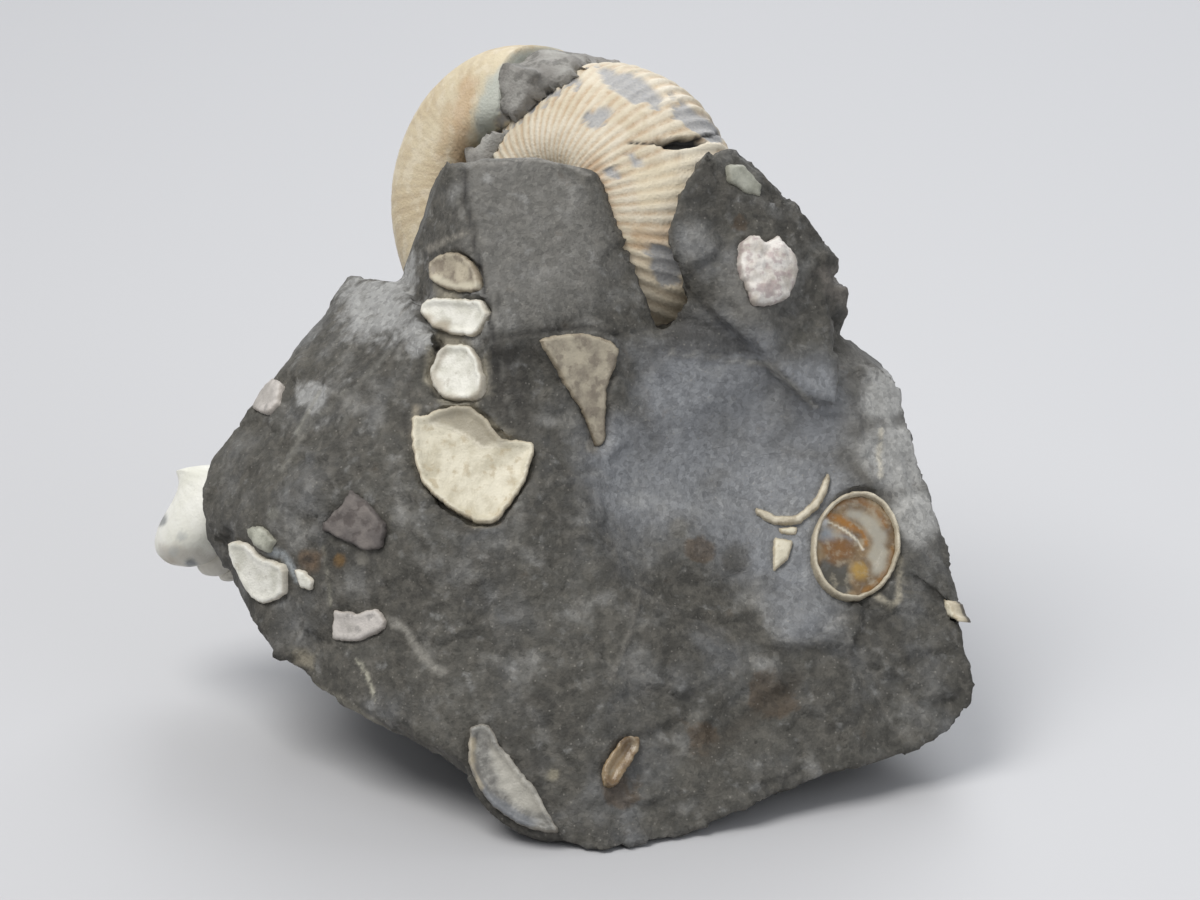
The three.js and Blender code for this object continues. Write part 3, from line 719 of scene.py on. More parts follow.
# %% [markdown]
# The two ends of the tube are closed by rings that shrink to a point. The ribs are bold on the last
# whorl of the coil and only faint bands on the shaft and the hook, which had grown smooth.

# %% Ammonite mesh
RIB_HEIGHT = 0.19 * MM
HOOK_RIB_SHARE = 0.1
RIBS_FADE_FROM, RIBS_FADE_TO = 60, 40


def with_ends(rows, count):
    """Repeats the first and the last row, for the rings that close the tube."""
    return np.concatenate([np.repeat(rows[:1], count, 0), rows, np.repeat(rows[-1:], count, 0)])


def closing(count, rings):
    """How open each ring is: 0 at both tips, 1 along the tube."""
    ramp = np.sqrt(np.linspace(0, 1, count, endpoint=False))
    return np.concatenate([ramp, np.ones(rings), ramp[::-1]])


tube_end = walked[-1]
centres = np.array(seen(*COIL_PLACE)) + (stations[:, :2] * MM) @ COIL_AXES
outs = stations[:, 2:4] @ COIL_AXES
outs /= np.linalg.norm(outs, axis=1)[:, None]
ring_count = len(centres) + 2 * CAP_RINGS
strength = 1 - (1 - HOOK_RIB_SHARE) * smooth_step(
    walked, tube_end - RIBS_FADE_FROM, tube_end - RIBS_FADE_TO
)
ammonite_path = path_mesh(
    "ammonite path",
    with_ends(centres, CAP_RINGS),
    {"out": with_ends(outs, CAP_RINGS), "side": np.tile(np.array(COIL_WIDTH), (ring_count, 1))},
    {
        "half": with_ends(stations[:, 4] * MM, CAP_RINGS),
        "wide": with_ends(stations[:, 5] * MM, CAP_RINGS),
        "flat": with_ends(stations[:, 6], CAP_RINGS),
        "ribs": with_ends(walked / RIB_PITCH, CAP_RINGS),
        "strength": with_ends(strength, CAP_RINGS),
        "inside": np.full(ring_count, -1.0),
        "closed": closing(CAP_RINGS, len(centres)),
    },
)
ammonite_mesh = tidied(
    grown(
        "ammonite", TUBE, ammonite_path, Rings=ring_count, Around=104, Rib_Height=RIB_HEIGHT,
        Line_Height=0.02 * MM, Rib_Bend=0.7, Grain_Size=1.6, Grain_Height=0.1 * MM,
    )
)
print("ammonite:", len(ammonite_mesh.polygons), "faces")

# %% [markdown]
# ## Where the shell is bare
# Parts of the shell have flaked off and show the grey-blue stone inside, which lies a little lower.
# One crack runs across the last ribs and has lost a splinter. All of these places are read off as
# seen, so each is a polygon or a line on the picture plane.

# %% Patches and lines as seen


def inside_outline(across, up, outline):
    """Whether each place is inside the outline."""
    hit = np.zeros(len(across), bool)
    for (x0, y0), (x1, y1) in zip(outline, outline[1:] + outline[:1]):
        crosses = (y0 > up) != (y1 > up)
        hit ^= crosses & (across < (x1 - x0) * (up - y0) / (y1 - y0 + 1e-12) + x0)
    return hit


def to_line(across, up, line):
    """How far each place is from a broken line, in millimetres."""
    least = np.full(len(across), 1e9)
    for (x0, y0), (x1, y1) in zip(line, line[1:]):
        length = (x1 - x0) ** 2 + (y1 - y0) ** 2 + 1e-12
        t = np.clip(((across - x0) * (x1 - x0) + (up - y0) * (y1 - y0)) / length, 0, 1)
        least = np.minimum(least, np.hypot(across - x0 - t * (x1 - x0), up - y0 - t * (y1 - y0)))
    return least


def patch(across, up, outline, soft=0.3):
    """1 inside the outline, 0 outside it, with a soft edge."""
    inside = inside_outline(across, up, outline)
    away = to_line(across, up, outline + outline[:1])
    return smooth_step(np.where(inside, away, -away), -soft, soft)


def paint(mesh, marks):
    """Keeps a colour with its strength per point, from spots, lines and areas as seen."""
    places = points_of(mesh)
    across, up, _ = picture_places(places)
    facing = smooth_step(normals_of(mesh) @ np.array(NEAR), -0.1, 0.2)
    wander = noise_at(places, 1.2, 5, 2)
    colour = np.zeros((len(places), 4))
    for shape, where, size, code, strength in marks:
        if shape == "spot":
            inside = size - np.hypot(across - where[0], up - where[1])
        elif shape == "line":
            inside = size / 2 - to_line(across, up, where)
        else:
            away = to_line(across, up, where + where[:1])
            inside = np.where(inside_outline(across, up, where), away, -away)
            size = 1.0
        soft = min(0.5, 0.4 * size)
        share = strength * smooth_step(inside + wander * soft * 0.8, -soft, soft) * facing
        colour[:, :3] += (np.array(hexed(code)[:3]) - colour[:, :3]) * share[:, None]
        bare = colour[:, 3] < 1e-6
        colour[bare, :3] = hexed(code)[:3]
        colour[:, 3] = np.maximum(colour[:, 3], share)
    kept = mesh.attributes.new("paint", "FLOAT_COLOR", "POINT")
    kept.data.foreach_set("color", colour.astype(np.float32).ravel())


BARE_PATCHES = [
    [(-0.9, 29), (0.9, 29), (0.7, 27.6), (-0.6, 27.4)],
    [(-1.5, 28.8), (-0.2, 28.6), (-0.4, 27.7), (-1.4, 27.6)],
    [(-0.4, 32.6), (3.4, 31.9), (5.3, 30), (4.8, 29.2), (2.6, 29.6), (0.4, 31.2)],
    [(6.5, 30), (9.6, 28), (11, 26.4), (10, 25.8), (8, 27.2), (6, 28.4)],
    [(4.4, 17.4), (6.6, 17), (7.2, 15.2), (6.8, 13.6), (5.2, 13.8), (4.2, 15.6)],
    [(0.4, 24), (1.4, 24), (1.4, 23.2), (0.4, 23.2)],
    [(2.6, 25), (3.6, 24.6), (3.4, 24), (2.4, 24.4)],
    [
        (-5.4, 32.6), (-2.6, 32.9), (-1.7, 31.2), (-3.8, 30.3), (-6.6, 28.4), (-8.2, 27.2), (-8.8, 25.4),
        (-8.4, 29.6),
    ],
]
CRACK = [(2.4, 26.2), (4.7, 26.1), (6.4, 26.2), (8.5, 26.6), (10.4, 27)]
LOST_SPLINTER = [(4.6, 26.3), (6.1, 26.5), (8.1, 26.6), (9, 26.2), (7.6, 25.7), (5.6, 25.6)]
# The left edge of the ribbed strip, where a brown tint with painted shade is laid.
SHADED_BROWN_EDGE = [(-0.6, 24), (0.2, 20), (1.2, 16), (2.6, 12.6), (4, 10.8)]

places = points_of(ammonite_mesh)
normals = normals_of(ammonite_mesh)
across, up, nearer = picture_places(places)
facing = smooth_step(normals @ np.array(NEAR), -0.15, 0.1)
wander = noise_at(places, 1.1, 3, 3) * 0.6
bare = np.zeros(len(places))
for outline in BARE_PATCHES:
    bare = np.maximum(bare, patch(across + wander, up - wander, outline, 0.16))
bare *= facing
lost = patch(across, up + wander * 0.2, LOST_SPLINTER, 0.12) * facing
crack = smooth_step(-to_line(across, up + wander * 0.3, CRACK), -0.16, -0.05) * facing
rust_and_edge_shade = smooth_step(-to_line(across, up, SHADED_BROWN_EDGE), -1.6, -0.3) * facing
inset = 0.22 * bare + 0.9 * lost + 0.25 * crack
set_points(ammonite_mesh, places - normals * (inset * MM)[:, None])
# The crack and the gap of the lost splinter share one mask, which the finish paints near black as shade.
for name, values in (("bare", bare), ("lost", np.maximum(lost, crack)), ("rust_and_edge_shade", rust_and_edge_shade)):
    set_mask(ammonite_mesh, name, values)
print("bare share of the shell:", round(float(bare.mean()), 3))

# %% [markdown]
# ## The finish of the ammonite's shell
# The crests of the ribs are worn to cream, and the valleys keep a tan skin. A brown tint with painted
# shade runs along the left edge of the ribbed strip.
# Flat stretches near the hook are evenly tan. The wave of the ribs is kept on the mesh, so the colour
# follows each rib exactly; grain and blotches come from the shared groups.

# %% Shell finish


def shell_finish():
    material, tree, shader, where = new_finish("ammonite shell", 0.55)
    crest, ribbed = masked(tree, "crest"), masked(tree, "ribbed")
    cloud = effect(tree, BLOTCHES, "Mask", Vector=where, Size=7.0, Share=0.5, Softness=0.16)
    flecks = effect(tree, BLOTCHES, "Mask", Vector=where, Size=1.2, Share=0.4, Softness=0.08)
    grain = effect(tree, GRAIN, "Height", Vector=where, Size=0.5)
    worn = ranged(tree, plus(tree, crest, times(tree, grain, 0.9)), 0.2, 1.5)
    skin = blended(tree, cloud, hexed("B2987A"), hexed("C6B091"))
    chalk = blended(tree, cloud, hexed("C8BBA1"), hexed("D8CFBD"))
    rib_colour = blended(tree, worn, skin, chalk)
    band = blended(tree, crest, hexed("BAA98C"), hexed("C6B697"))
    smooth_colour = blended(tree, cloud, band, hexed("D2C7AC"))
    colour = blended(tree, ranged(tree, ribbed, 0.15, 0.8), smooth_colour, rib_colour)
    colour = stained(tree, colour, flecks, 0.35, "DED5C1")
    # Painted shade with a brown tint along the left edge of the ribbed strip.
    colour = stained(tree, colour, masked(tree, "rust_and_edge_shade"), 0.35, "A87A4C")
    colour = painted_over(tree, colour)
    stone = blended(tree, grain, hexed("84858A"), hexed("B4B2AE"))
    colour = blended(tree, masked(tree, "bare"), colour, stone)
    # Painted shade: the crack and the gap go near black.
    colour = blended(tree, masked(tree, "lost"), colour, hexed("1C1A18"))
    tree.links.new(colour, shader.inputs["Base Color"])
    tree.links.new(ranged(tree, grain, 0.3, 0.9, 0.45, 0.68), shader.inputs["Roughness"])
    bumped(tree, shader, grain, 0.09)
    return material


SHELL_MARKS = [
    (
        "area",
        [
            (-10, 24.6), (-10.6, 28.6), (-9.5, 31.6), (-7, 33.8), (-3.4, 34.4), (-4.4, 32.8), (-6.6, 31.4),
            (-8.2, 29.4), (-8.9, 27), (-9, 24.6),
        ],
        1, "B6BAB1", 0.9,
    ),
    # Painted light on the lower end of the ribbed strip, which lies in the shade of its pocket.
    ("area", [(2, 16.6), (7.6, 16.6), (7.6, 12), (5.4, 9.6), (3.6, 11.2)], 1, "D2C4AB", 0.6),
    ("line", [(-11.2, 31), (-11.9, 28), (-11.8, 24.5)], 1.5, "BC9870", 0.5),
    ("line", [(-12.8, 29), (-13.6, 25)], 1.0, "A98A62", 0.35),
    ("area", [(-6, 32.4), (3, 32.4), (5, 31.2), (1, 30.6), (-4, 31.6)], 1, "DCD3BF", 0.5),
    ("area", [(6.8, 25.6), (10.2, 26.6), (9.4, 24.4), (7.2, 22.6)], 1, "E9E0CC", 0.7),
    ("area", [(2.5, 23.6), (8, 25.2), (7.5, 21.5), (3.5, 20.5)], 1, "DFD2B4", 0.5),
    ("area", [(2.6, 19), (6.5, 19), (5.6, 16.8), (2.8, 17)], 1, "B8946C", 0.4),
]
paint(ammonite_mesh, SHELL_MARKS)
SHELL_FINISH = shell_finish()
piece("ammonite", ammonite_mesh, SHELL_FINISH, "scaphites_shell")
shell_tree = surface_tree(ammonite_mesh)

# %% [markdown]
# ## The snail
# A small gastropod stands out of the left side of the rock. Its tube winds up a cone towards the tip,
# and each turn is about half as large as the last. The same tree makes it, on a path of its own, and a
# short stretch beyond the mouth rounds it off.

# %% Snail
SNAIL_PLACE = (-33.3, -6.7, -16.5)
SNAIL_WHORL = 4.1
SNAIL_COIL = 2.0
SNAIL_GROWTH = 1.9
SNAIL_RISE = 8.6
SNAIL_TURNS = 2.5
SNAIL_MOUTH = math.radians(40)

tip = in_picture(0.45, -0.8, -0.35).normalized()
first = (ACROSS - tip * tip.dot(ACROSS)).normalized()
second = tip.cross(first)
SNAIL_LIP = 0.28
turns = np.linspace(-SNAIL_LIP, SNAIL_TURNS, 270)
sizes = SNAIL_GROWTH ** -np.maximum(turns, 0)
lip = np.sqrt(np.clip(1 - np.maximum(-turns / SNAIL_LIP, 0) ** 2, 0, 1))
angles = SNAIL_MOUTH + 2 * math.pi * turns
snail_outs = np.cos(angles)[:, None] * np.array(first) + np.sin(angles)[:, None] * np.array(second)
snail_centres = (
    np.array(seen(*SNAIL_PLACE))
    + snail_outs * (SNAIL_COIL * sizes * MM)[:, None]
    + np.array(tip) * ((SNAIL_RISE * (1 - sizes) - 2.2) * MM)[:, None]
)
whole = len(turns) + 2 * CAP_RINGS
snail_path = path_mesh(
    "snail path",
    with_ends(snail_centres, CAP_RINGS),
    {"out": with_ends(snail_outs, CAP_RINGS), "side": np.tile(np.array(tip), (whole, 1))},
    {
        "half": with_ends(SNAIL_WHORL * sizes * MM, CAP_RINGS),
        "wide": with_ends(SNAIL_WHORL * sizes * MM, CAP_RINGS),
        "flat": np.ones(whole),
        "ribs": with_ends(turns * 22, CAP_RINGS),
        "strength": np.ones(whole),
        "inside": with_ends((0.3 - SNAIL_COIL * sizes) * MM, CAP_RINGS),
        "closed": closing(CAP_RINGS, len(turns)) * with_ends(lip, CAP_RINGS),
    },
)
snail_mesh = tidied(
    grown(
        "snail", TUBE, snail_path, Rings=whole, Around=64, Rib_Height=0.05 * MM, Rib_Bend=0.6, Grain_Size=2.2,
        Grain_Height=0.12 * MM,
    )
)
SNAIL_MARKS = [
    ("area", [(-37.5, -8), (-31, -9), (-30, -14), (-38, -14)], 1, "B3ACA0", 0.6),
    ("line", [(-36.6, -9.6), (-35.6, -12), (-31, -12.4)], 1.2, "8A7658", 0.7),
    ("spot", (-37.4, -5.8), 0.6, "6A6E70", 0.8),
    ("spot", (-34.7, -9.7), 0.55, "4E565E", 0.9),
    ("spot", (-35.6, -7.4), 0.4, "9DA0A0", 0.5),
    ("spot", (-36.3, -8.7), 0.4, "8E9394", 0.6),
]
paint(snail_mesh, SNAIL_MARKS)


def snail_finish():
    material, tree, shader, where = new_finish("snail shell", 0.42)
    cloud = effect(tree, BLOTCHES, "Mask", Vector=where, Size=5.0, Share=0.45, Softness=0.18)
    grain = effect(tree, GRAIN, "Height", Vector=where, Size=0.6)
    colour = blended(tree, cloud, hexed("D9D8CC"), hexed("ECEBE4"))
    colour = painted_over(tree, colour)
    tree.links.new(colour, shader.inputs["Base Color"])
    bumped(tree, shader, grain, 0.06)
    return material


piece("snail", snail_mesh, snail_finish(), "snail_shell")
snail_tree = surface_tree(snail_mesh)

# %% [markdown]
# ## Flat bits of shell in the rock face
# The rock broke through other shells, and their cut pieces lie in its faces: a row of chambers, a fan,
# a ring, and many chips. Each is a thin plate on its own bed. The bed is read from the solid it
# replaces, the outline is given as seen, and its edge is roughened, because old shell breaks raggedly.

# %% Beds and outlines


def merged_copy(node):
    """A copy of a CAD node's mesh with its doubles merged."""
    return tidied(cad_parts[node].data.copy(), 0.0005 * MM)


TURNED_TO_EYE = 0.15
SAME_WAY = 0.9995


def bed_of(node, proud, turned=TURNED_TO_EYE):
    """The flat bed of a chip: a point of it, its two directions and the way out of the rock."""
    seen_faces = [f for f in merged_copy(node).polygons if f.normal.dot(NEAR) > turned]
    faces = [(f.normal.copy(), f.area, f.center.copy()) for f in seen_faces]
    best = max(faces, key=lambda f: sum(o[1] for o in faces if o[0].dot(f[0]) > SAME_WAY))
    same = [o for o in faces if o[0].dot(best[0]) > SAME_WAY]
    out = best[0]
    top = sum((c * a for _, a, c in same), Vector()) / sum(a for _, a, _ in same)
    right = (ACROSS - out * out.dot(ACROSS)).normalized()
    return {"middle": top - out * proud * MM, "right": right, "up": out.cross(right), "out": out}


def laid_on(bed, outline):
    """Where the eye sees the outline on the bed, in millimetres along its two directions."""
    laid = []
    for a, b in outline:
        way = on_picture(a, b) - EYE
        spot = EYE + way * ((bed["middle"] - EYE).dot(bed["out"]) / way.dot(bed["out"])) - bed["middle"]
        laid.append((spot.dot(bed["right"]) / MM, spot.dot(bed["up"]) / MM))
    return laid


def closed_curve(points, rounding, step=0.14):
    """The outline with close points, straight between corners or rounded through them."""
    points = np.array(points, float)
    count = len(points)
    fine = []
    for i in range(count):
        p0, p1, p2, p3 = (points[(i + k) % count] for k in (-1, 0, 1, 2))
        parts = max(2, int(np.linalg.norm(p2 - p1) / step))
        for t in np.arange(parts) / parts:
            bend, twist = 2 * p0 - 5 * p1 + 4 * p2 - p3, 3 * p1 - p0 - 3 * p2 + p3
            smooth = 0.5 * (2 * p1 + (p2 - p0) * t + bend * t * t + twist * t**3)
            fine.append(smooth * rounding + (p1 + (p2 - p1) * t) * (1 - rounding))
    return np.array(fine)


def ragged(outline, amount, seed):
    """The outline with small bays and teeth, as along a break."""
    moved = []
    for i, point in enumerate(outline):
        along = outline[(i + 1) % len(outline)] - outline[i - 1]
        out = np.array([along[1], -along[0]]) / (np.linalg.norm(along) + 1e-9)
        bay = noise.fractal(Vector((*point, seed * 3.7)) * 1.4, 0.6, 2.0, 3)
        moved.append(point + out * amount * bay)
    return np.array(moved)


def plate(bed, outline, surface, deep=1.1, step=0.22, holes=()):
    """A closed plate on a bed. The surface gives the height in millimetres at each point and rim distance."""
    rings = [np.asarray(outline)] + [np.asarray(h) for h in holes]
    flat = [Vector(p) for ring in rings for p in ring]
    loops, start = [], 0
    for ring in rings:
        loops += [(start + i, start + (i + 1) % len(ring)) for i in range(len(ring))]
        start += len(ring)
    low, high = np.min(rings[0], axis=0), np.max(rings[0], axis=0)
    xs, ys = np.meshgrid(np.arange(low[0], high[0], step), np.arange(low[1], high[1], step * 0.87))
    xs[1::2] += step / 2
    spread = np.column_stack([xs.ravel(), ys.ravel()])
    keep = inside_outline(spread[:, 0], spread[:, 1], [tuple(p) for p in rings[0]])
    for hole in rings[1:]:
        keep &= ~inside_outline(spread[:, 0], spread[:, 1], [tuple(p) for p in hole])
    closed = [[tuple(p) for p in ring] + [tuple(ring[0])] for ring in rings]
    spread = spread[keep]
    away = np.min([to_line(spread[:, 0], spread[:, 1], ring) for ring in closed], axis=0)
    flat += [Vector(p) for p in spread[away > step * 0.5]]
    points, _, faces, *_ = delaunay_2d_cdt(flat, loops, [], 1, 1e-7)
    faces = [tuple(f) for f in faces]
    points = np.array([tuple(p) for p in points])
    if len(rings) > 1:
        middles = np.array([points[list(f)].mean(axis=0) for f in faces])
        blocked = np.zeros(len(faces), bool)
        for hole in rings[1:]:
            blocked |= inside_outline(middles[:, 0], middles[:, 1], [tuple(p) for p in hole])
        faces = [f for f, b in zip(faces, blocked) if not b]
    rim = np.min([to_line(points[:, 0], points[:, 1], ring) for ring in closed], axis=0)
    height = surface(points, rim)
    axes = np.array([bed["right"], bed["up"]])
    base = np.array(bed["middle"]) + points @ axes * MM
    out = np.array(bed["out"])
    top = base + out * (height * MM)[:, None]
    bottom = base - out * deep * MM
    count = len(points)
    edges = {}
    for f in faces:
        for a, b in zip(f, f[1:] + f[:1]):
            edges[(a, b)] = edges.get((a, b), 0) + 1
    border = [e for e in edges if (e[1], e[0]) not in edges]
    solid = faces + [tuple(v + count for v in reversed(f)) for f in faces]
    solid += [(b, a, a + count, b + count) for a, b in border]
    mesh = bpy.data.meshes.new("plate")
    mesh.from_pydata(np.vstack([top, bottom]).tolist(), [], solid)
    mesh = tidied(mesh, 0.0002 * MM)
    places = points_of(mesh) - np.array(bed["middle"])
    flat_places = places @ axes.T / MM
    to_rims = [to_line(flat_places[:, 0], flat_places[:, 1], ring) for ring in closed]
    set_mask(mesh, "rim", np.min(to_rims, axis=0))
    set_mask(mesh, "raised", places @ out / MM)
    return mesh


def worn_top(proud, dome=0.0, lip=0.0, wave=0.08, seed=1, size=1.5):
    """A plate's surface: bevelled at the rim, domed or hollow, with a lip and slow waves."""

    def surface(points, rim):
        deepest = rim.max() + 1e-6
        inner = np.clip(rim / deepest, 0, 1)
        waves = np.array([noise.fractal(Vector((*p, seed)) / size, 0.7, 2.0, 3) for p in points])
        edge = lip * np.exp(-(((rim - 0.28) / 0.2) ** 2))
        bevel = 0.16 * (1 - smooth_step(rim, 0, 0.2))
        return proud - bevel + dome * np.sqrt(1 - (1 - inner) ** 2) + edge + wave * waves

    return surface


print("helpers for plates are ready")

# %% [markdown]
# ## Which chips there are
# The chambers are the cut whorls of one small spiral shell, so they are hollow with a raised rim. The
# oyster chip is thick and humped. The others are thin scales.

# %% Chips
CHIPS = {
    "chamber_1": dict(
        finish="beige", proud=0.35, rounding=0.8, dome=-0.3, lip=0.18,
        outline=[
            (-14.3, 16), (-13.2, 16.6), (-11.9, 16.7), (-10.9, 16), (-10.4, 14.9), (-10.4, 13.6), (-12, 13.5),
            (-13.2, 13.8), (-14.2, 14.4), (-14.4, 15.1),
        ],
    ),
    "chamber_2": dict(
        finish="white", proud=0.5, rounding=0.7, dome=-0.25, lip=0.22,
        outline=[
            (-15, 11.7), (-14.5, 12.7), (-13.2, 12.8), (-10.6, 12.7), (-9.9, 12.6), (-9.4, 11.5), (-10, 10.2),
            (-10.6, 9.7), (-12.8, 9.9), (-14, 10.4),
        ],
    ),
    "chamber_3": dict(
        finish="white", proud=0.4, rounding=0.8, dome=-0.3, lip=0.22,
        outline=[
            (-14.3, 6.4), (-13.6, 8.2), (-12.8, 8.9), (-11.1, 8.8), (-10.2, 7.6), (-9.9, 5.5), (-10.4, 4.4),
            (-12.3, 4.2), (-13.6, 4.7),
        ],
    ),
    "chamber_4": dict(
        finish="cream", proud=0.45, rounding=0.6, dome=-0.75, lip=0.2,
        outline=[
            (-16, 2.6), (-14.9, 2.8), (-13.6, 3.4), (-11.1, 3.6), (-9.6, 2.4), (-8.3, 0.9), (-5.8, 0.6),
            (-5.7, -0.2), (-6.4, -2.6), (-7.7, -4.7), (-8.9, -6), (-10.6, -6.1), (-12.8, -4.9), (-14.9, -3),
            (-15.8, -0.4),
        ],
    ),
    "fan_shell": dict(
        finish="beige", proud=0.3, rounding=0.5, dome=0.05, lip=0.05,
        outline=[
            (-5.1, 9.3), (-3.4, 9.8), (-1.3, 9.9), (0.4, 9.5), (1.5, 8.6), (1.2, 7.2), (0.5, 5.1), (0.4, 2.6),
            (0.4, 0.9), (-0.4, 0.3), (-0.9, 1.5), (-1.4, 3), (-2.6, 4.9), (-3.8, 7.2),
        ],
    ),
    "oyster_chip": dict(
        finish="oyster", proud=0.5, rounding=0.5, dome=0.7, lip=0, wave=0.3,
        outline=[
            (11.9, 17.4), (12.6, 18.1), (13.4, 18.1), (14, 17.5), (14.9, 18.1), (15.7, 17.4), (16.6, 16),
            (16.7, 15.1), (16.3, 13.6), (15.7, 12.8), (14, 12.2), (12.9, 12.3), (12.3, 14), (11.8, 15.5),
        ],
    ),
    "sliver_arc": dict(
        finish="ring", proud=0.35, rounding=0.5, dome=0.05,
        outline=[
            (13.3, -5), (14.9, -5.6), (16.6, -5.6), (17.8, -4.7), (18.6, -3.5), (19.2, -2.1), (19.6, -2.3),
            (19.2, -3.8), (18.3, -5.2), (16.8, -6.3), (14.8, -6.3), (13.3, -5.5),
        ],
    ),
    "chip_stub": dict(
        finish="cream", proud=0.35, rounding=0.3,
        outline=[(14.9, -7.5), (16.3, -7.8), (15.9, -9.3), (14.9, -10.3), (14.7, -10), (14.7, -8.2)],
    ),
    "white_chip_left": dict(
        finish="white", proud=0.5, rounding=0.4, dome=-0.15, lip=0.1,
        outline=[
            (-31.4, -8), (-30.7, -7.7), (-29.7, -8), (-28.7, -9), (-27, -9.7), (-26.6, -10.3), (-26.7, -12.2),
            (-28.3, -13), (-29.4, -12.4), (-30.4, -10.9), (-31, -9.6),
        ],
    ),
    "white_chip_small": dict(
        finish="white", proud=0.35, rounding=0.4, turned=0.5,
        outline=[(-25.8, -10.2), (-25.1, -10.3), (-24.3, -11.1), (-24.5, -11.9), (-25.4, -11.6)],
    ),
    "slate_flake": dict(
        finish="flake", proud=0.6, rounding=0.1, wave=0.12,
        outline=[
            (-21.1, -3.5), (-19.8, -4.4), (-18.2, -6.3), (-18.4, -8.3), (-19.8, -8.5), (-23.4, -6.8),
            (-23.3, -6.2), (-21.8, -4.7),
        ],
    ),
    "grey_chip": dict(
        finish="grey", proud=0.35, rounding=0.5, dome=-0.1, lip=0.08,
        outline=[
            (-22.4, -13.7), (-20.5, -13.9), (-19, -13.5), (-18.2, -14.6), (-18.5, -15.3), (-20.5, -16.2),
            (-22.6, -16.1),
        ],
    ),
    "rim_shell": dict(
        finish="rim", proud=0.8, rounding=0.6, dome=-0.5, lip=0.3, wave=0.15,
        outline=[
            (-10.9, -23.8), (-11.1, -26.4), (-10.4, -28.6), (-8.9, -30.4), (-6.6, -31.9), (-4.7, -32.5),
            (-3.6, -32.4), (-4.3, -31), (-5.5, -28.9), (-7.2, -26.8), (-8.5, -25.1), (-9.4, -23.5),
        ],
    ),
    "tube_shell": dict(
        finish="calcite", proud=0.7, rounding=0.8, dome=-0.5, lip=0.25,
        outline=[
            (0.2, -27.6), (0.4, -26.7), (1.6, -24.9), (2.4, -24.4), (3.1, -24.7), (3.1, -25.5), (2, -27.4),
            (1.2, -28.6), (0.4, -28.6),
        ],
    ),
    "chip_bar": dict(
        finish="cream", proud=0.2, rounding=0.3, bed="sliver_arc",
        outline=[(15.2, -6.6), (16.7, -6.6), (16.7, -7.2), (15.4, -7.1)],
    ),
    "beige_chip": dict(
        finish="greenish", proud=0.4, rounding=0.4, turned=0.5,
        outline=[(-29.8, -6.8), (-28.7, -6.5), (-27.6, -7.7), (-28.1, -8.7), (-29.3, -8.1)],
    ),
    "edge_shell_left": dict(
        finish="grey", proud=0.5, rounding=0.4,
        outline=[(-29.3, 3.4), (-28.7, 4.7), (-27.6, 5.9), (-26.9, 5.5), (-27.2, 3.8), (-28.1, 3)],
    ),
    "edge_shell_right": dict(
        finish="cream", proud=0.4, rounding=0.4,
        outline=[(29.4, -12.7), (30, -13.1), (30.7, -14.6), (29.7, -14)],
    ),
    "shoulder_shell": dict(
        finish="greenish", proud=0.3, rounding=0.4,
        outline=[(10.9, 24.2), (12.1, 24.2), (13.6, 22.5), (13.5, 21.6), (12.3, 21.9), (11, 22.9)],
    ),
}
beds = {}
for name, chip in CHIPS.items():
    source = chip.get("bed", name)
    beds[name] = bed_of(source, CHIPS[source]["proud"], chip.get("turned", TURNED_TO_EYE))
chip_meshes = {}
for number, (name, chip) in enumerate(CHIPS.items()):
    laid = laid_on(beds[name], chip["outline"])
    edge = ragged(closed_curve(laid, chip["rounding"]), 0.11, number)
    chip["laid"] = edge
    surface = worn_top(chip["proud"], chip.get("dome", 0), chip.get("lip", 0), chip.get("wave", 0.07), number)
    chip_meshes[name] = plate(beds[name], edge, surface)
print("chips:", len(chip_meshes), "with", sum(len(m.polygons) for m in chip_meshes.values()), "faces")

# %% [markdown]
# ## The ring
# A small coiled shell was cut across, which leaves a thin pale ring around brown and white calcite. The
# ring is a plate with a hole, and the calcite lies a little lower inside it.

# %% Ring and calcite
RING = dict(across=21.7, up=-8.2, half_across=3.7, half_up=4.6, leaning=math.radians(-10), wall=0.36)


def ring_outline(grown_by, count=90):
    """The ellipse as seen, grown by so much."""
    cos_lean, sin_lean = math.cos(RING["leaning"]), math.sin(RING["leaning"])
    outline = []
    for i in range(count):
        angle = 2 * math.pi * i / count
        x = math.cos(angle) * (RING["half_across"] + grown_by)
        y = math.sin(angle) * (RING["half_up"] + grown_by)
        across = RING["across"] + x * cos_lean - y * sin_lean
        outline.append((across, RING["up"] + x * sin_lean + y * cos_lean))
    return outline


ring_bed = bed_of("ring_calcite", 0.15)
ring_out = ragged(np.array(laid_on(ring_bed, ring_outline(0))), 0.08, 31)
ring_in = ragged(np.array(laid_on(ring_bed, ring_outline(-RING["wall"]))), 0.08, 32)
ring_fill = np.array(laid_on(ring_bed, ring_outline(-RING["wall"] + 0.12)))
ring_top = worn_top(proud=0.5, dome=0.1, wave=0.12, seed=33, size=0.8)
calcite_top = worn_top(proud=0.12, dome=-0.2, wave=0.16, seed=34, size=1.6)
chip_meshes["ring_shell"] = plate(ring_bed, ring_out, ring_top, step=0.16, holes=[ring_in])
chip_meshes["ring_calcite"] = plate(ring_bed, ring_fill, calcite_top)
print("the ring's sides:", np.round(np.ptp(ring_out, axis=0), 1), "mm")

# %% [markdown]
# ## Finishes of the chips
# Shell that has lost its gloss is chalky: white or cream, duller where it is worn, with a thin darker
# line where its edge meets the stone. One recipe serves them all, with its own colours each time. The
# mesh keeps how far each point is from the rim, which places that line.

# %% Chip finishes


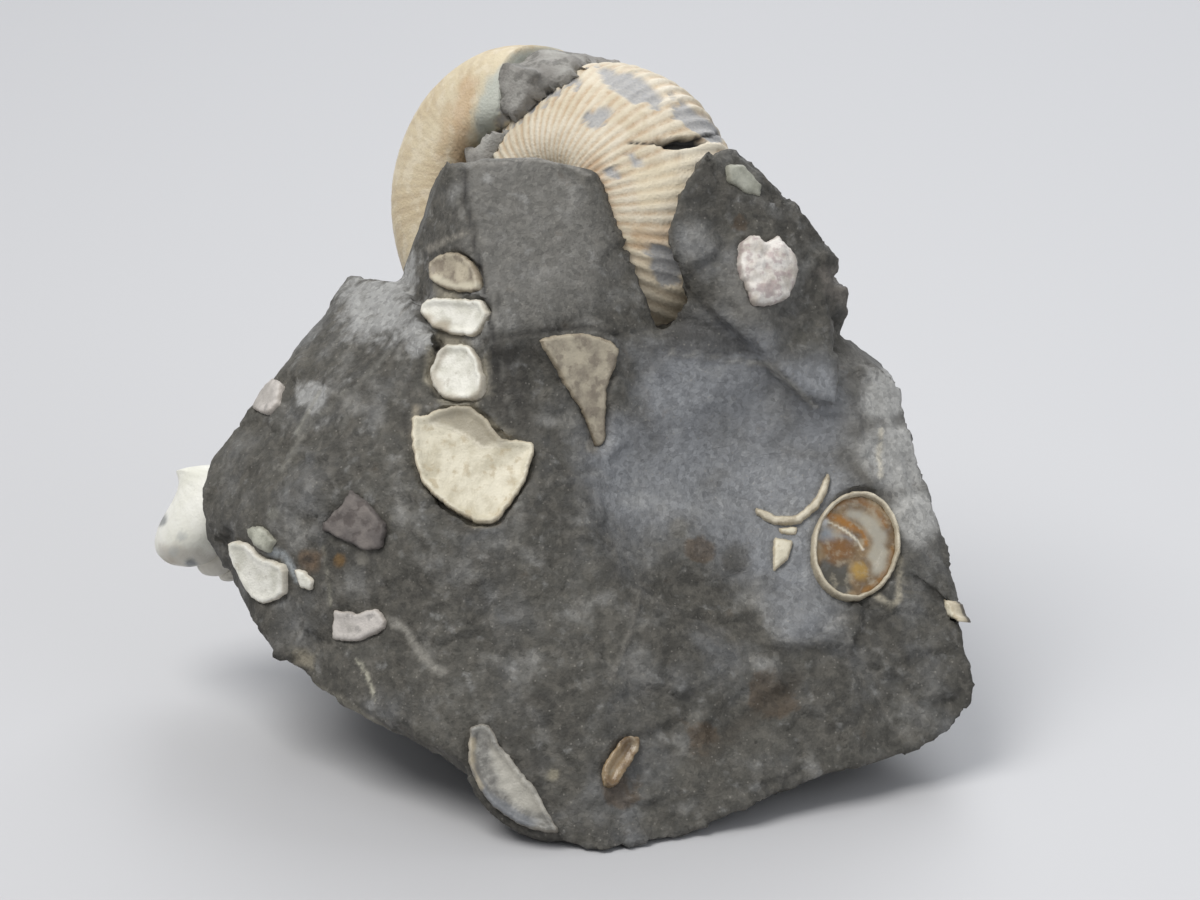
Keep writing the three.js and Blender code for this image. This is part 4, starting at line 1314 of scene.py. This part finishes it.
def chalky(name, low, high, edge, stain, stain_share=0.3, size=1.6, roughness=0.5):
    """Old shell: two colours in blotches, an edge colour, and a stain."""
    material, tree, shader, where = new_finish(name, roughness)
    cloud = effect(tree, BLOTCHES, "Mask", Vector=where, Size=size, Share=0.55, Softness=0.16)
    dirty = effect(tree, BLOTCHES, "Mask", Vector=where, Size=size * 0.6, Share=stain_share, Softness=0.06)
    grain = effect(tree, GRAIN, "Height", Vector=where, Size=0.4)
    colour = blended(tree, cloud, hexed(low), hexed(high))
    colour = stained(tree, colour, dirty, 0.6, stain)
    rim = ranged(tree, masked(tree, "rim"), 0.2, 0.04)
    colour = stained(tree, colour, rim, 0.5, edge)
    colour = painted_over(tree, colour)
    sunk = ranged(tree, masked(tree, "raised"), -0.6, -0.85)
    colour = blended(tree, sunk, colour, hexed("6E675B"))
    tree.links.new(colour, shader.inputs["Base Color"])
    bumped(tree, shader, grain, 0.06)
    return material


def clear_calcite(name):
    """Calcite: honey to brown, clouded white in places, with a glassy surface."""
    material, tree, shader, where = new_finish(name, 0.28)
    cloud = effect(tree, BLOTCHES, "Mask", Vector=where, Size=1.6, Share=0.5, Softness=0.14)
    milk = effect(tree, BLOTCHES, "Mask", Vector=where, Size=0.8, Share=0.35, Softness=0.08)
    grain = effect(tree, GRAIN, "Height", Vector=where, Size=0.5)
    colour = blended(tree, cloud, hexed("6E5A41"), hexed("958062"))
    colour = painted_over(tree, colour)
    colour = stained(tree, colour, milk, 0.4, "A59D8A")
    tree.links.new(colour, shader.inputs["Base Color"])
    bumped(tree, shader, grain, 0.05)
    return material


CHIP_FINISHES = {
    "white": (chalky("white shell", "CBC9BC", "E6E4DA", "B5AA96", "B4AE9F", 0.2), "white_shell"),
    "cream": (chalky("cream shell", "C3BBA4", "DBD4BF", "A2937A", "B3A486", 0.3), "cream_shell"),
    "beige": (chalky("beige shell", "8C8272", "B5AB96", "8C7F6A", "74695C", 0.4), "beige_shell"),
    "grey": (chalky("grey shell", "A29D97", "C4BEB8", "9E958A", "8A8682", 0.25), "grey_shell"),
    "rim": (chalky("worn grey shell", "6F6D68", "9B9992", "857D70", "55534F", 0.45), "grey_shell"),
    "oyster": (chalky("oyster shell", "B9B1A6", "E2DDD6", "9D928A", "A89393", 0.4), "white_shell"),
    "greenish": (chalky("greenish shell", "8F8F82", "B3B3A5", "8C8A7C", "7D7C72", 0.3), "grey_shell"),
    "ring": (chalky("dull cream shell", "B9AF99", "D6CDB8", "8F836D", "9C8F78", 0.3), "cream_shell"),
    "flake": (chalky("slate flake", "645E5B", "7C7570", "4A4542", "4C4441", 0.4, roughness=0.8), "slate"),
    "calcite": (clear_calcite("calcite"), "calcite"),
}
CHIP_MARKS = {
    "chamber_1": [("line", [(-14, 14.6), (-12.3, 13.9), (-10.5, 14)], 0.5, "C2BCA8", 0.7)],
    "chamber_2": [
        (
            "area",
            [(-15.6, 12.2), (-14.2, 11.2), (-12.9, 10.8), (-12.4, 9.4), (-14.6, 9.4)],
            1, "9C917E", 0.85,
        ),
        ("line", [(-9.5, 12.8), (-9.2, 11.4), (-10, 10.2), (-11, 9.6)], 0.3, "A99E88", 0.7),
    ],
    "chamber_3": [
        ("line", [(-13.2, 8.6), (-14.2, 6.4), (-13.4, 4.8), (-12.2, 4.2)], 0.6, "A89F8E", 0.7),
        ("line", [(-10.6, 8.6), (-9.9, 6.6), (-10, 5), (-11, 4.3)], 0.6, "A39A88", 0.7),
    ],
    "chamber_4": [
        (
            "area",
            [
                (-14.4, 2.6), (-12.8, 4.3), (-10.8, 4), (-10.2, 3.2), (-9, 1.8), (-7.6, 0.7), (-10, 0.3),
                (-11.2, 1.2), (-12.6, 1.9),
            ],
            1, "99917F", 0.85,
        ),
        (
            "line",
            [(-14.4, 2.3), (-12.6, 1.8), (-11.2, 1.1), (-10, 0.2), (-7.6, 0.5)],
            0.2, "EFE8D6", 0.7,
        ),
    ],
    "rim_shell": [
        (
            "area",
            [(-9.4, -25), (-7.8, -26), (-5.6, -29), (-4.4, -31), (-6.4, -30.6), (-8.6, -28.6)],
            1, "B3AFA4", 0.8,
        ),
        (
            "area",
            [(-10.9, -27), (-9.6, -29), (-7.4, -30.4), (-5, -31.6), (-6.6, -32.2), (-9.2, -30.8)],
            1, "6E7176", 0.8,
        ),
        ("line", [(-10.8, -24.6), (-10.9, -26.6), (-10.2, -28.6)], 0.5, "A89C84", 0.8),
    ],
    "ring_calcite": [
        (
            "area",
            [(18.9, -9.2), (21.2, -9.6), (21.5, -11.8), (20.9, -12.6), (19.3, -11.9), (18.4, -10.2)],
            1, "4A4A45", 0.9,
        ),
        ("spot", (20.2, -8.4), 1.2, "7A5630", 0.9),
        (
            "area",
            [
                (21.3, -4.8), (23, -5.4), (24.2, -7), (24.5, -8.7), (24.3, -10.3), (23.2, -10.4), (22.8, -9),
                (23, -7.6), (22.3, -6.5), (21.2, -5.5),
            ],
            1, "A9A598", 0.85,
        ),
        (
            "area",
            [(18.7, -6.1), (20.1, -6.8), (21.7, -7.7), (20.9, -7.5), (19.5, -7.8), (18.5, -7.6)],
            1, "8D959C", 0.85,
        ),
        ("line", [(18.9, -5.3), (20.2, -5.9), (21.5, -6.5), (22.3, -7), (22.7, -8)], 0.6, "9A6A2E", 0.9),
        (
            "line",
            [(19.3, -4.9), (20.9, -4.3), (22.3, -4.4), (23.5, -5.2), (24.3, -6.5)],
            0.5, "86633C", 0.8,
        ),
        ("line", [(24.9, -8.3), (24.6, -10.1), (23.7, -11.4), (22.6, -12)], 0.5, "8A6331", 0.8),
        ("spot", (22, -10.3), 0.8, "A98844", 0.8),
        (
            "line",
            [(18.7, -5.8), (20.1, -6.4), (21.2, -7.1), (22, -7.8), (22.3, -8.4)],
            0.22, "E4DCC6", 0.9,
        ),
        ("spot", (18.9, -6.1), 0.4, "E9ECEE", 0.9),
    ],
}
for name, mesh in chip_meshes.items():
    paint(mesh, CHIP_MARKS.get(name, []))
for name, chip in CHIPS.items():
    look, slot = CHIP_FINISHES[chip["finish"]]
    piece(name + "_shown", chip_meshes[name], look, name)
for name, finish in (("ring_shell", "ring"), ("ring_calcite", "calcite")):
    look, slot = CHIP_FINISHES[finish]
    piece(name + "_shown", chip_meshes[name], look, name)

# %% [markdown]
# ## The shale
# The block is broken along rough, slightly curved faces. Its solid is coarse, so a copy of it is closed
# around the chips, made into an even fine mesh, and given relief by a tree of Geometry Nodes: slow
# lumps, broken faces of two sizes, and fine grain. Then the stone is drawn up to the ammonite and the
# snail, as the mud once was.

# %% Rock body
ROCK_VOXEL = 0.42 * MM
PLUG_GAP = 0.5
PLUG_DEEP = 2.2


def widened(outline, gap):
    """The outline moved outwards by a gap."""
    along = np.roll(outline, -1, 0) - np.roll(outline, 1, 0)
    out = np.column_stack([along[:, 1], -along[:, 0]]) / (np.linalg.norm(along, axis=1)[:, None] + 1e-9)
    area = np.sum(outline[:, 0] * np.roll(outline[:, 1], -1) - outline[:, 1] * np.roll(outline[:, 0], -1))
    return outline + out * gap * np.sign(area)


def pocket_fill(bed, laid, level):
    """A slab that closes the pocket under a chip, at a level on its bed."""
    outline = widened(laid[::3], PLUG_GAP)
    return plate(bed, outline, lambda points, rim: np.full(len(points), level), deep=PLUG_DEEP, step=0.6)


rock_mesh = merged_copy("shale_block")
work = bmesh.new()
work.from_mesh(rock_mesh)
pockets = [(ring_bed, ring_out, -0.45, 0.2)]
# The chip on the right edge stands out past the stone, so its pocket stays open.
OPEN_POCKET = beds["edge_shell_right"]
for name, chip in CHIPS.items():
    hollow = chip["proud"] + min(0, chip.get("dome", 0))
    pockets.append((beds[name], chip["laid"], min(-0.15, hollow - 0.4), chip["proud"] - 0.25))
for bed, laid, level, _ in pockets:
    if bed is not OPEN_POCKET:
        work.from_mesh(pocket_fill(bed, laid, level))
work.to_mesh(rock_mesh)
work.free()
rock_mesh = even_mesh("rock", rock_mesh, ROCK_VOXEL)
print("rock:", len(rock_mesh.polygons), "faces")

# %% [markdown]
# The relief tree moves each point along its normal. Shale breaks into small tilted faces with sharp
# edges: the tree divides space into cells, and gives each cell a tilted plane of its own. Some faces
# of the block are smoother, and a mask turns the breakage down there.

# %% Relief tree
RELIEF = dict(
    Lump_Size=9.0, Lump_Height=0.5 * MM, Facet_Size=5.0, Facet_Height=0.75 * MM, Chip_Size=1.9,
    Chip_Height=0.26 * MM, Grain_Size=1.2, Grain_Height=0.12 * MM,
)
SMOOTH_SPOTS = [((10, 2), 9), ((15, -4), 6), ((-5, 17), 7), ((-6, 21), 6)]


def relief_tree():
    tree = bpy.data.node_groups.new("stone relief", "GeometryNodeTree")
    socket(tree, "Stone", "Geometry")
    for name in RELIEF:
        socket(tree, name.replace("_", " "), "Float", value=1.0)
    socket(tree, "Material", "Material")
    socket(tree, "Stone", "Geometry", outgoing=True)
    given = add(tree, "NodeGroupInput").outputs
    where = add(tree, "GeometryNodeInputPosition").outputs[0]
    smooth = add(tree, "GeometryNodeInputNamedAttribute", fields={"data_type": "FLOAT"}, Name="smooth")
    bold = minus(tree, 1.0, times(tree, smooth.outputs["Attribute"], 0.7))

    def cloud(name, shift, detail):
        scale = maths(tree, "DIVIDE", 1000.0, given[name + " Size"])
        moved = vector_maths(tree, "ADD", where, shift)
        noise_node = add(tree, "ShaderNodeTexNoise", Vector=moved, Scale=scale, Detail=detail, Roughness=0.55)
        return times(tree, minus(tree, noise_node.outputs["Fac"], 0.5), given[name + " Height"])

    def broken(name, stretch):
        scale = maths(tree, "DIVIDE", 1000.0, given[name + " Size"])
        warp = add(tree, "ShaderNodeTexNoise", Vector=where, Scale=times(tree, scale, 0.8), Detail=2.0)
        sway = vector_maths(tree, "SUBTRACT", warp.outputs["Color"], (0.5, 0.5, 0.5))
        sway = scaled(tree, sway, times(tree, given[name + " Size"], 0.9 * MM))
        laid = vector_maths(tree, "MULTIPLY", vector_maths(tree, "ADD", where, sway), stretch)
        cells = add(tree, "ShaderNodeTexVoronoi", Vector=laid, Scale=scale)
        offset = scaled(tree, vector_maths(tree, "SUBTRACT", laid, cells.outputs["Position"]), scale)
        tilt = vector_maths(tree, "SUBTRACT", cells.outputs["Color"], (0.5, 0.5, 0.5))
        height = times(tree, vector_maths(tree, "DOT_PRODUCT", offset, tilt), given[name + " Height"])
        return times(tree, height, bold)

    height = plus(tree, cloud("Lump", (0.31, 0.12, 0.53), 1.0), cloud("Grain", (0, 0, 0), 3.0))
    height = plus(tree, height, broken("Facet", (0.7, 0.9, 1.3)))
    height = plus(tree, height, broken("Chip", (0.8, 1.0, 1.2)))
    offset = scaled(tree, add(tree, "GeometryNodeInputNormal").outputs[0], height)
    moved = add(tree, "GeometryNodeSetPosition", Geometry=given["Stone"], Offset=offset)
    real = add(tree, "GeometryNodeRealizeInstances", Geometry=moved.outputs[0])
    painted = add(tree, "GeometryNodeSetMaterial", Geometry=real.outputs[0], Material=given["Material"])
    finish = add(tree, "NodeGroupOutput")
    tree.links.new(painted.outputs[0], finish.inputs["Stone"])
    return tree


across, up, nearer = picture_places(points_of(rock_mesh))
smooth = np.zeros(len(across))
for (x, y), radius in SMOOTH_SPOTS:
    smooth = np.maximum(smooth, smooth_step(-np.hypot(across - x, up - y), -radius * 1.2, -radius * 0.7))
set_mask(rock_mesh, "smooth", smooth)
rock_mesh = grown("rock", relief_tree(), rock_mesh, **RELIEF)
print("relief on", len(rock_mesh.vertices), "points")

# %% [markdown]
# ## Creases, ledges and contact
# Some lines in the rock are not chance: a groove down the left panel, a crease below the big chamber,
# and a long ledge across the face. Each is a line as seen with a width and a depth. The stone near a
# chip is then kept lower than the chip, so that no relief covers it.

# %% Lines in the rock
ROCK_LINES = [
    dict(line=[(-11.5, 24.2), (-11, 20), (-10.2, 15.3), (-9.2, 9.6), (-8.2, 4.5)], width=0.45, depth=0.3),
    dict(line=[(-16.6, 1.7), (-13.5, -7), (-10.2, -12.8), (-6.8, -22), (-3.4, -32.3)], width=1.2, depth=0.22),
    dict(line=[(0, -30.6), (5, -27.6), (11, -23.6), (16.2, -20.4)], width=0.8, depth=0.35),
    dict(line=[(2, -28), (8, -24.6), (14, -19.6)], width=0.5, depth=0.25),
    dict(line=[(3.4, -12), (2.2, -16), (0.6, -20)], width=0.35, depth=-0.14),
    dict(
        line=[(1.7, 9.5), (8.5, 8.5), (14.5, 7.6), (16.6, 6), (18.3, 3.8), (19.6, 1.7)],
        width=0.5, depth=-0.35,
    ),
    dict(line=[(-10, 9.3), (-5.1, 10), (-0.9, 10.5)], width=0.5, depth=0.3),
]

HELD_BACK = 2
HELD_LOW, HELD_HIGH = -1.8, 4
HELD_SLOPE = 1.3


def held_back(places, bed, laid, level, rim_level):
    """Keeps the stone lower than a chip: at a level under it, and at its rim's level beside it."""
    offset = places - np.array(bed["middle"])
    flat = offset @ np.array([bed["right"], bed["up"]]).T / MM
    high = offset @ np.array(bed["out"]) / MM
    low, top = laid.min(axis=0) - HELD_BACK, laid.max(axis=0) + HELD_BACK
    beside = np.all((flat > low) & (flat < top), axis=1)
    near = np.flatnonzero((high > HELD_LOW) & (high < HELD_HIGH) & beside)
    ring = [tuple(p) for p in laid]
    away = to_line(flat[near, 0], flat[near, 1], ring + ring[:1])
    under = inside_outline(flat[near, 0], flat[near, 1], ring)
    most = np.where(under, level, rim_level + away * HELD_SLOPE)
    fall = np.maximum(high[near] - most, 0)
    held = places.copy()
    held[near] -= np.array(bed["out"]) * (fall * MM)[:, None]
    return held


def drawn_to(places, tree, reach, inside):
    """Draws the points near a shell onto it, a little inside its surface."""
    moved = places.copy()
    for i, place in enumerate(places):
        spot, normal, _, distance = tree.find_nearest(Vector(place), reach)
        if spot is None:
            continue
        within = (Vector(place) - spot).dot(normal) < 0
        share = 1.0 if within else float(smooth_step(np.array(-distance), -reach, -0.72 * reach))
        moved[i] = np.array(place) * (1 - share) + np.array(spot - normal * inside) * share
    return moved


places, normals = points_of(rock_mesh), normals_of(rock_mesh)
across, up, nearer = picture_places(places)
facing = smooth_step(normals @ np.array(NEAR), 0.0, 0.25)
for mark in ROCK_LINES:
    away = to_line(across, up, mark["line"])
    depth = mark["depth"] * np.exp(-((away / mark["width"]) ** 2)) * facing
    places = places - normals * (depth * MM)[:, None]
for bed, laid, level, rim_level in pockets:
    places = held_back(places, bed, laid, level, rim_level)
OVERLAP = 0.15 * MM
places = drawn_to(places, shell_tree, 1.15 * MM, OVERLAP)
places = drawn_to(places, snail_tree, 0.75 * MM, OVERLAP)
places[:, 2] = np.maximum(places[:, 2], 0)
set_points(rock_mesh, places)
print("rock height:", round(float(places[:, 2].max()) / MM, 1), "mm")

# %% [markdown]
# ## The finish of the stone
# The shale is dark grey-brown and fine-grained. Painted light lifts the upper front and the right side,
# a painted reflection of the sky makes the smooth faces on the right bluish, and a pale painted sheen
# lies on the right flank. The shoulder on the left has pale bluish-white patches, and iron has stained
# a few grooves brown. The places of these zones are kept on the mesh as masks; their ragged borders
# come from the shared blotches.

# %% Stone zones
ZONES = {
    # Pale bluish-white patches on the left shoulder.
    "dust": [((-19.1, 12.3), 3.6), ((-15.5, 9.5), 1.6), ((-24.5, 4.6), 1.6), ((-17.4, 15.6), 2.2)],
    # Painted reflection: a bluish grey where the smooth faces mirror the sky. The same mask lowers the
    # roughness there.
    "blue": [((9.5, 3.5), 8), ((14.5, -5), 7.5), ((4, -1.5), 6), ((17, 3.5), 5), ((17, -12.6), 4)],
    # Painted light: a lighter grey on the upper front and the right side, where the lamps fall.
    "light": [
        ((-5.5, 17), 7.5), ((-7, 22), 5), ((13, 13.5), 3), ((24.5, 1.5), 4.6), ((26.4, -5), 3.8),
        ((23, 7), 3),
    ],
    # Painted sheen: a pale grey on the smooth right flank, as if it reflected the sky.
    "painted_sheen": [((25.4, -0.5), 3.4), ((26.8, -5.6), 2.6), ((24.3, 4.6), 2.4)],
    "stain": [
        ((14.6, -20.6), 2.6), ((9, -24.6), 1.8), ((2, -28.8), 2), ((12, 19.4), 0.9), ((8.5, -8.4), 1.5),
    ],
}
zone_values = {}
for name, spots in ZONES.items():
    value = np.zeros(len(places))
    for (x, y), radius in spots:
        value = np.maximum(value, smooth_step(-np.hypot(across - x, up - y), -radius * 1.3, -radius * 0.45))
    zone_values[name] = value * facing
    set_mask(rock_mesh, name, zone_values[name])
print({name: round(float(v.mean()), 3) for name, v in zone_values.items()})


def stone_finish():
    material, tree, shader, where = new_finish("shale", 0.72, 0.4)
    cloud = effect(tree, BLOTCHES, "Mask", Vector=where, Size=9.0, Share=0.5, Softness=0.2)
    small = effect(tree, BLOTCHES, "Mask", Vector=where, Size=1.1, Share=0.45, Softness=0.12)
    specks = effect(tree, SPECKS, "Mask", Vector=where, Size=0.3, Share=0.07)
    grain = effect(tree, GRAIN, "Height", Vector=where, Size=0.5)
    large_face = effect(tree, FACETS, "Height", Vector=where, Size=2.6)
    small_face = effect(tree, FACETS, "Height", Vector=where, Size=0.8)
    tone = effect(tree, FACETS, "Tone", Vector=where, Size=0.42)
    colour = blended(tree, cloud, hexed("3E3C37"), hexed("504E48"))
    colour = stained(tree, colour, small, 0.4, "6B675F")
    # A painted reflection of the sky, bluish grey, on the smooth faces.
    blue = effect(tree, BLOTCHES, "Mask", Vector=where, Size=6.0, Share=masked(tree, "blue"), Softness=0.3)
    colour = stained(tree, colour, blue, 0.85, "86888B")
    # Painted light over the lit faces.
    colour = stained(tree, colour, masked(tree, "light"), 0.75, "74726D")
    # A pale painted sheen on the smooth right flank.
    painted_sheen = effect(tree, BLOTCHES, "Mask", Vector=where, Size=4.0, Share=masked(tree, "painted_sheen"), Softness=0.25)
    colour = stained(tree, colour, painted_sheen, 0.75, "B9B8B4")
    # Pale bluish-white patches on the left shoulder.
    pale_patch_share = times(tree, masked(tree, "dust"), 0.8)
    dust = effect(tree, BLOTCHES, "Mask", Vector=where, Size=1.3, Share=pale_patch_share, Softness=0.2)
    colour = stained(tree, colour, dust, 0.8, "A3A3A1")
    rusty = times(tree, masked(tree, "stain"), 0.7)
    rust_and_edge_shade = effect(tree, BLOTCHES, "Mask", Vector=where, Size=2.2, Share=rusty, Softness=0.1)
    colour = stained(tree, colour, rust_and_edge_shade, 0.6, "4E3E2C")
    colour = painted_over(tree, colour)
    colour = stained(tree, colour, specks, 0.4, "8E8A82")
    shade = blended(tree, tone, (0.80, 0.80, 0.80, 1), (1.18, 1.18, 1.18, 1))
    colour = blended(tree, 1.0, colour, shade, "MULTIPLY")
    tree.links.new(colour, shader.inputs["Base Color"])
    gloss = plus(tree, grain, masked(tree, "blue"))
    tree.links.new(ranged(tree, gloss, 0.4, 1.6, 0.74, 0.5), shader.inputs["Roughness"])
    height = plus(tree, times(tree, large_face, 0.9), times(tree, small_face, 0.4))
    height = plus(tree, height, times(tree, grain, 0.42))
    bumped(tree, shader, height, 0.26)
    return material


ROCK_MARKS = [
    ("spot", (-24.7, -9.4), 0.9, "6E5B48", 0.8),
    ("spot", (-24.8, -9.3), 0.45, "3A332D", 0.9),
    ("spot", (-22.2, -9.4), 0.5, "7D6036", 0.8),
    ("spot", (-20.2, -9.2), 0.6, "8E8A80", 0.7),
    (
        "area",
        [(-26.2, -17), (-25, -16.8), (-24, -17.4), (-24.4, -18.6), (-25.8, -18.4)],
        1, "8F8877", 0.7,
    ),
    (
        "line",
        [(-17.9, -14.4), (-16.5, -15.3), (-15.7, -16.5), (-14.5, -18.2), (-13.4, -18.8)],
        0.7, "8C8981", 0.8,
    ),
    ("line", [(-20.7, -17.7), (-19.8, -19.1), (-19.1, -21.2)], 0.3, "A9A696", 0.9),
    ("line", [(-23.5, -8.2), (-23.2, -10.5), (-22.9, -13.2)], 0.3, "8C897C", 0.6),
    ("line", [(-28, -8.6), (-26.9, -8.9), (-26.2, -9.9), (-25.7, -11)], 0.6, "9DA2A4", 0.8),
    ("line", [(23.9, 1.7), (23.7, -0.4), (23.9, -2.2)], 0.4, "C3BDAE", 0.9),
    ("line", [(-26, -19.4), (-22, -21.2), (-17.4, -24.4), (-13, -27)], 0.5, "8E8A7D", 0.6),
    ("line", [(-12.4, 24.6), (-9, 24.3), (-6, 24.8), (-3.2, 24.4), (-0.9, 23.4)], 0.35, "8E8B85", 0.7),
    # Painted shade in the groove down the left panel, and in a crack beside it.
    (
        "line",
        [(-11.6, 23.8), (-11.3, 21), (-10.6, 17.6), (-9.5, 12), (-8.8, 8), (-7.8, 3)],
        0.45, "2C2A28", 0.8,
    ),
    ("line", [(-8.8, 13.4), (-8.2, 9), (-7, 3.4)], 0.35, "302E2B", 0.6),
    # Painted shadow under the ledge of the left panel.
    ("line", [(-9.6, 9.4), (-5, 10.2), (-0.8, 10.5), (2.6, 9.4)], 0.4, "33312E", 0.7),
    # Painted shade in the crease below the big chamber.
    ("line", [(-16.2, 6.2), (-16.6, 2), (-13.6, -5.2), (-10.6, -7)], 0.4, "35322E", 0.5),
    ("line", [(-12.8, 13.8), (-12.9, 9.6), (-12.4, 8.8), (-12, 4.4), (-11.6, 3.4)], 2.2, "8D8778", 0.85),
    (
        "line",
        [(-14.4, 8.6), (-14.5, 6), (-13.2, 4.2), (-11, 4), (-9.7, 5), (-9.8, 7.6)],
        0.7, "979182", 0.85,
    ),
    (
        "area",
        [(-11.6, 4.4), (-9.4, 2.6), (-7.4, 0.9), (-9.4, 0.8), (-12.6, 2.6), (-14, 3)],
        1, "958F80", 0.8,
    ),
    ("area", [(-9.4, 9), (-7.3, 9), (-6, 4), (-5.4, 1.4), (-8, 1.6), (-9.4, 3.6)], 1, "3F3C37", 0.6),
    ("line", [(-8.5, 8), (-8, 5), (-7.2, 2.4)], 0.3, "77756F", 0.6),
    ("line", [(-7.8, 8.4), (-7.2, 5.4), (-6.5, 3.4)], 0.25, "2B2926", 0.6),
    ("line", [(-14.6, 17), (-13, 17.8), (-11.2, 18.6)], 0.5, "8F8A80", 0.7),
    (
        "line",
        [(-15.6, 3.6), (-16, 1), (-15.4, -1.4), (-13, -4.2), (-10.9, -6.4), (-8.8, -6.2)],
        0.6, "958C7A", 0.6,
    ),
    ("line", [(3.3, -12), (2.7, -15), (0.9, -19.6)], 0.35, "7B776F", 0.7),
    # Painted shadow in the recess between the tip of the ribbed strip and the ledge.
    (
        "area",
        [(6.8, 13.2), (8, 11.6), (10.6, 10.4), (13.4, 8.2), (10, 7.9), (5.4, 8.6), (5.2, 9.4), (6.2, 10.4)],
        1, "34322F", 0.7,
    ),
    # Painted highlight on the lit upper rim of the scoop.
    ("line", [(6, 8.3), (10, 7.8), (14.2, 7.3), (16.4, 5.4), (18.3, 3.7)], 0.4, "A3A19B", 0.8),
    ("line", [(25.4, -9.3), (25.4, -12.8), (24.7, -13.2), (23.6, -12.4)], 0.5, "A39C8B", 0.9),
    (
        "area",
        [(18.3, 15.4), (20.3, 15.6), (21.7, 14.4), (21.5, 11.6), (20.4, 12.4), (19.2, 13.4)],
        1, "77716A", 0.6,
    ),
    ("spot", (-13.2, -0.6), 0.3, "B5AE9C", 0.4),
    ("spot", (-0.6, 0.4), 0.6, "8F8A80", 0.7),
    ("spot", (-4, -27.6), 0.5, "8C8674", 0.8),
    ("spot", (-27.8, -5.4), 0.5, "7B7A72", 0.5),
    ("line", [(-27, -1.6), (-24.4, 2.6), (-21.6, 5)], 0.5, "77756E", 0.6),
    ("line", [(-25.8, 1.4), (-23.8, 5)], 0.3, "8A887F", 0.6),
    ("line", [(-22, 1.6), (-20.6, 5.6), (-17.6, 8.6)], 0.4, "6E6C66", 0.6),
    ("spot", (6.6, -6.6), 0.8, "6A675F", 0.5),
    ("spot", (11.6, -9.2), 1.3, "45423C", 0.7),
    ("spot", (14.8, -20.6), 1.6, "40382D", 0.6),
    ("line", [(8.4, -26.4), (11.6, -23.8), (16.6, -19.6)], 1.4, "443F37", 0.6),
]
paint(rock_mesh, ROCK_MARKS)
STONE_FINISH = stone_finish()
piece("shale", rock_mesh, STONE_FINISH, "shale_block")

# %% [markdown]
# ## The stone in the mouth
# The mouth of the hook and the groove between hook and coil are packed with a paler grey stone. It gets
# the same treatment as the block: an even mesh, grain, and contact with the shell around it.

# %% Mouth fill
FILL_VOXEL = 0.4 * MM
fill_mesh = even_mesh("fill", merged_copy("mouth_fill"), FILL_VOXEL)
fill_places = points_of(fill_mesh)
grain_height = noise_at(fill_places, 2.2, 9, 4) * 0.22 + noise_at(fill_places, 6, 11, 2) * 0.3
fill_places = fill_places + normals_of(fill_mesh) * (grain_height * MM)[:, None]
fill_places = drawn_to(fill_places, shell_tree, 0.9 * MM, 0.12 * MM)
set_points(fill_mesh, fill_places)


def grey_stone():
    material, tree, shader, where = new_finish("grey stone", 0.7, 0.4)
    cloud = effect(tree, BLOTCHES, "Mask", Vector=where, Size=4.0, Share=0.5, Softness=0.12)
    veins = effect(tree, BLOTCHES, "Mask", Vector=where, Size=1.6, Share=0.35, Softness=0.05)
    grain = effect(tree, GRAIN, "Height", Vector=where, Size=0.5)
    colour = blended(tree, cloud, hexed("86837E"), hexed("A3A19B"))
    colour = stained(tree, colour, veins, 0.7, "66645F")
    tree.links.new(colour, shader.inputs["Base Color"])
    bumped(tree, shader, grain, 0.12)
    return material


piece("mouth_stone", fill_mesh, grey_stone(), "mouth_fill")

# %% [markdown]
# The sides of the solids' box and of the shown pieces' box are printed, one axis at a time.

# %% Sizes
visual_box = [list(corner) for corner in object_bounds()]
for axis, name in enumerate("xyz"):
    cad_side = (cad_box[1][axis] - cad_box[0][axis]) / MM
    shown_side = (visual_box[1][axis] - visual_box[0][axis]) / MM
    print(name, "solids", round(cad_side, 1), "mm, shown", round(shown_side, 1), "mm")
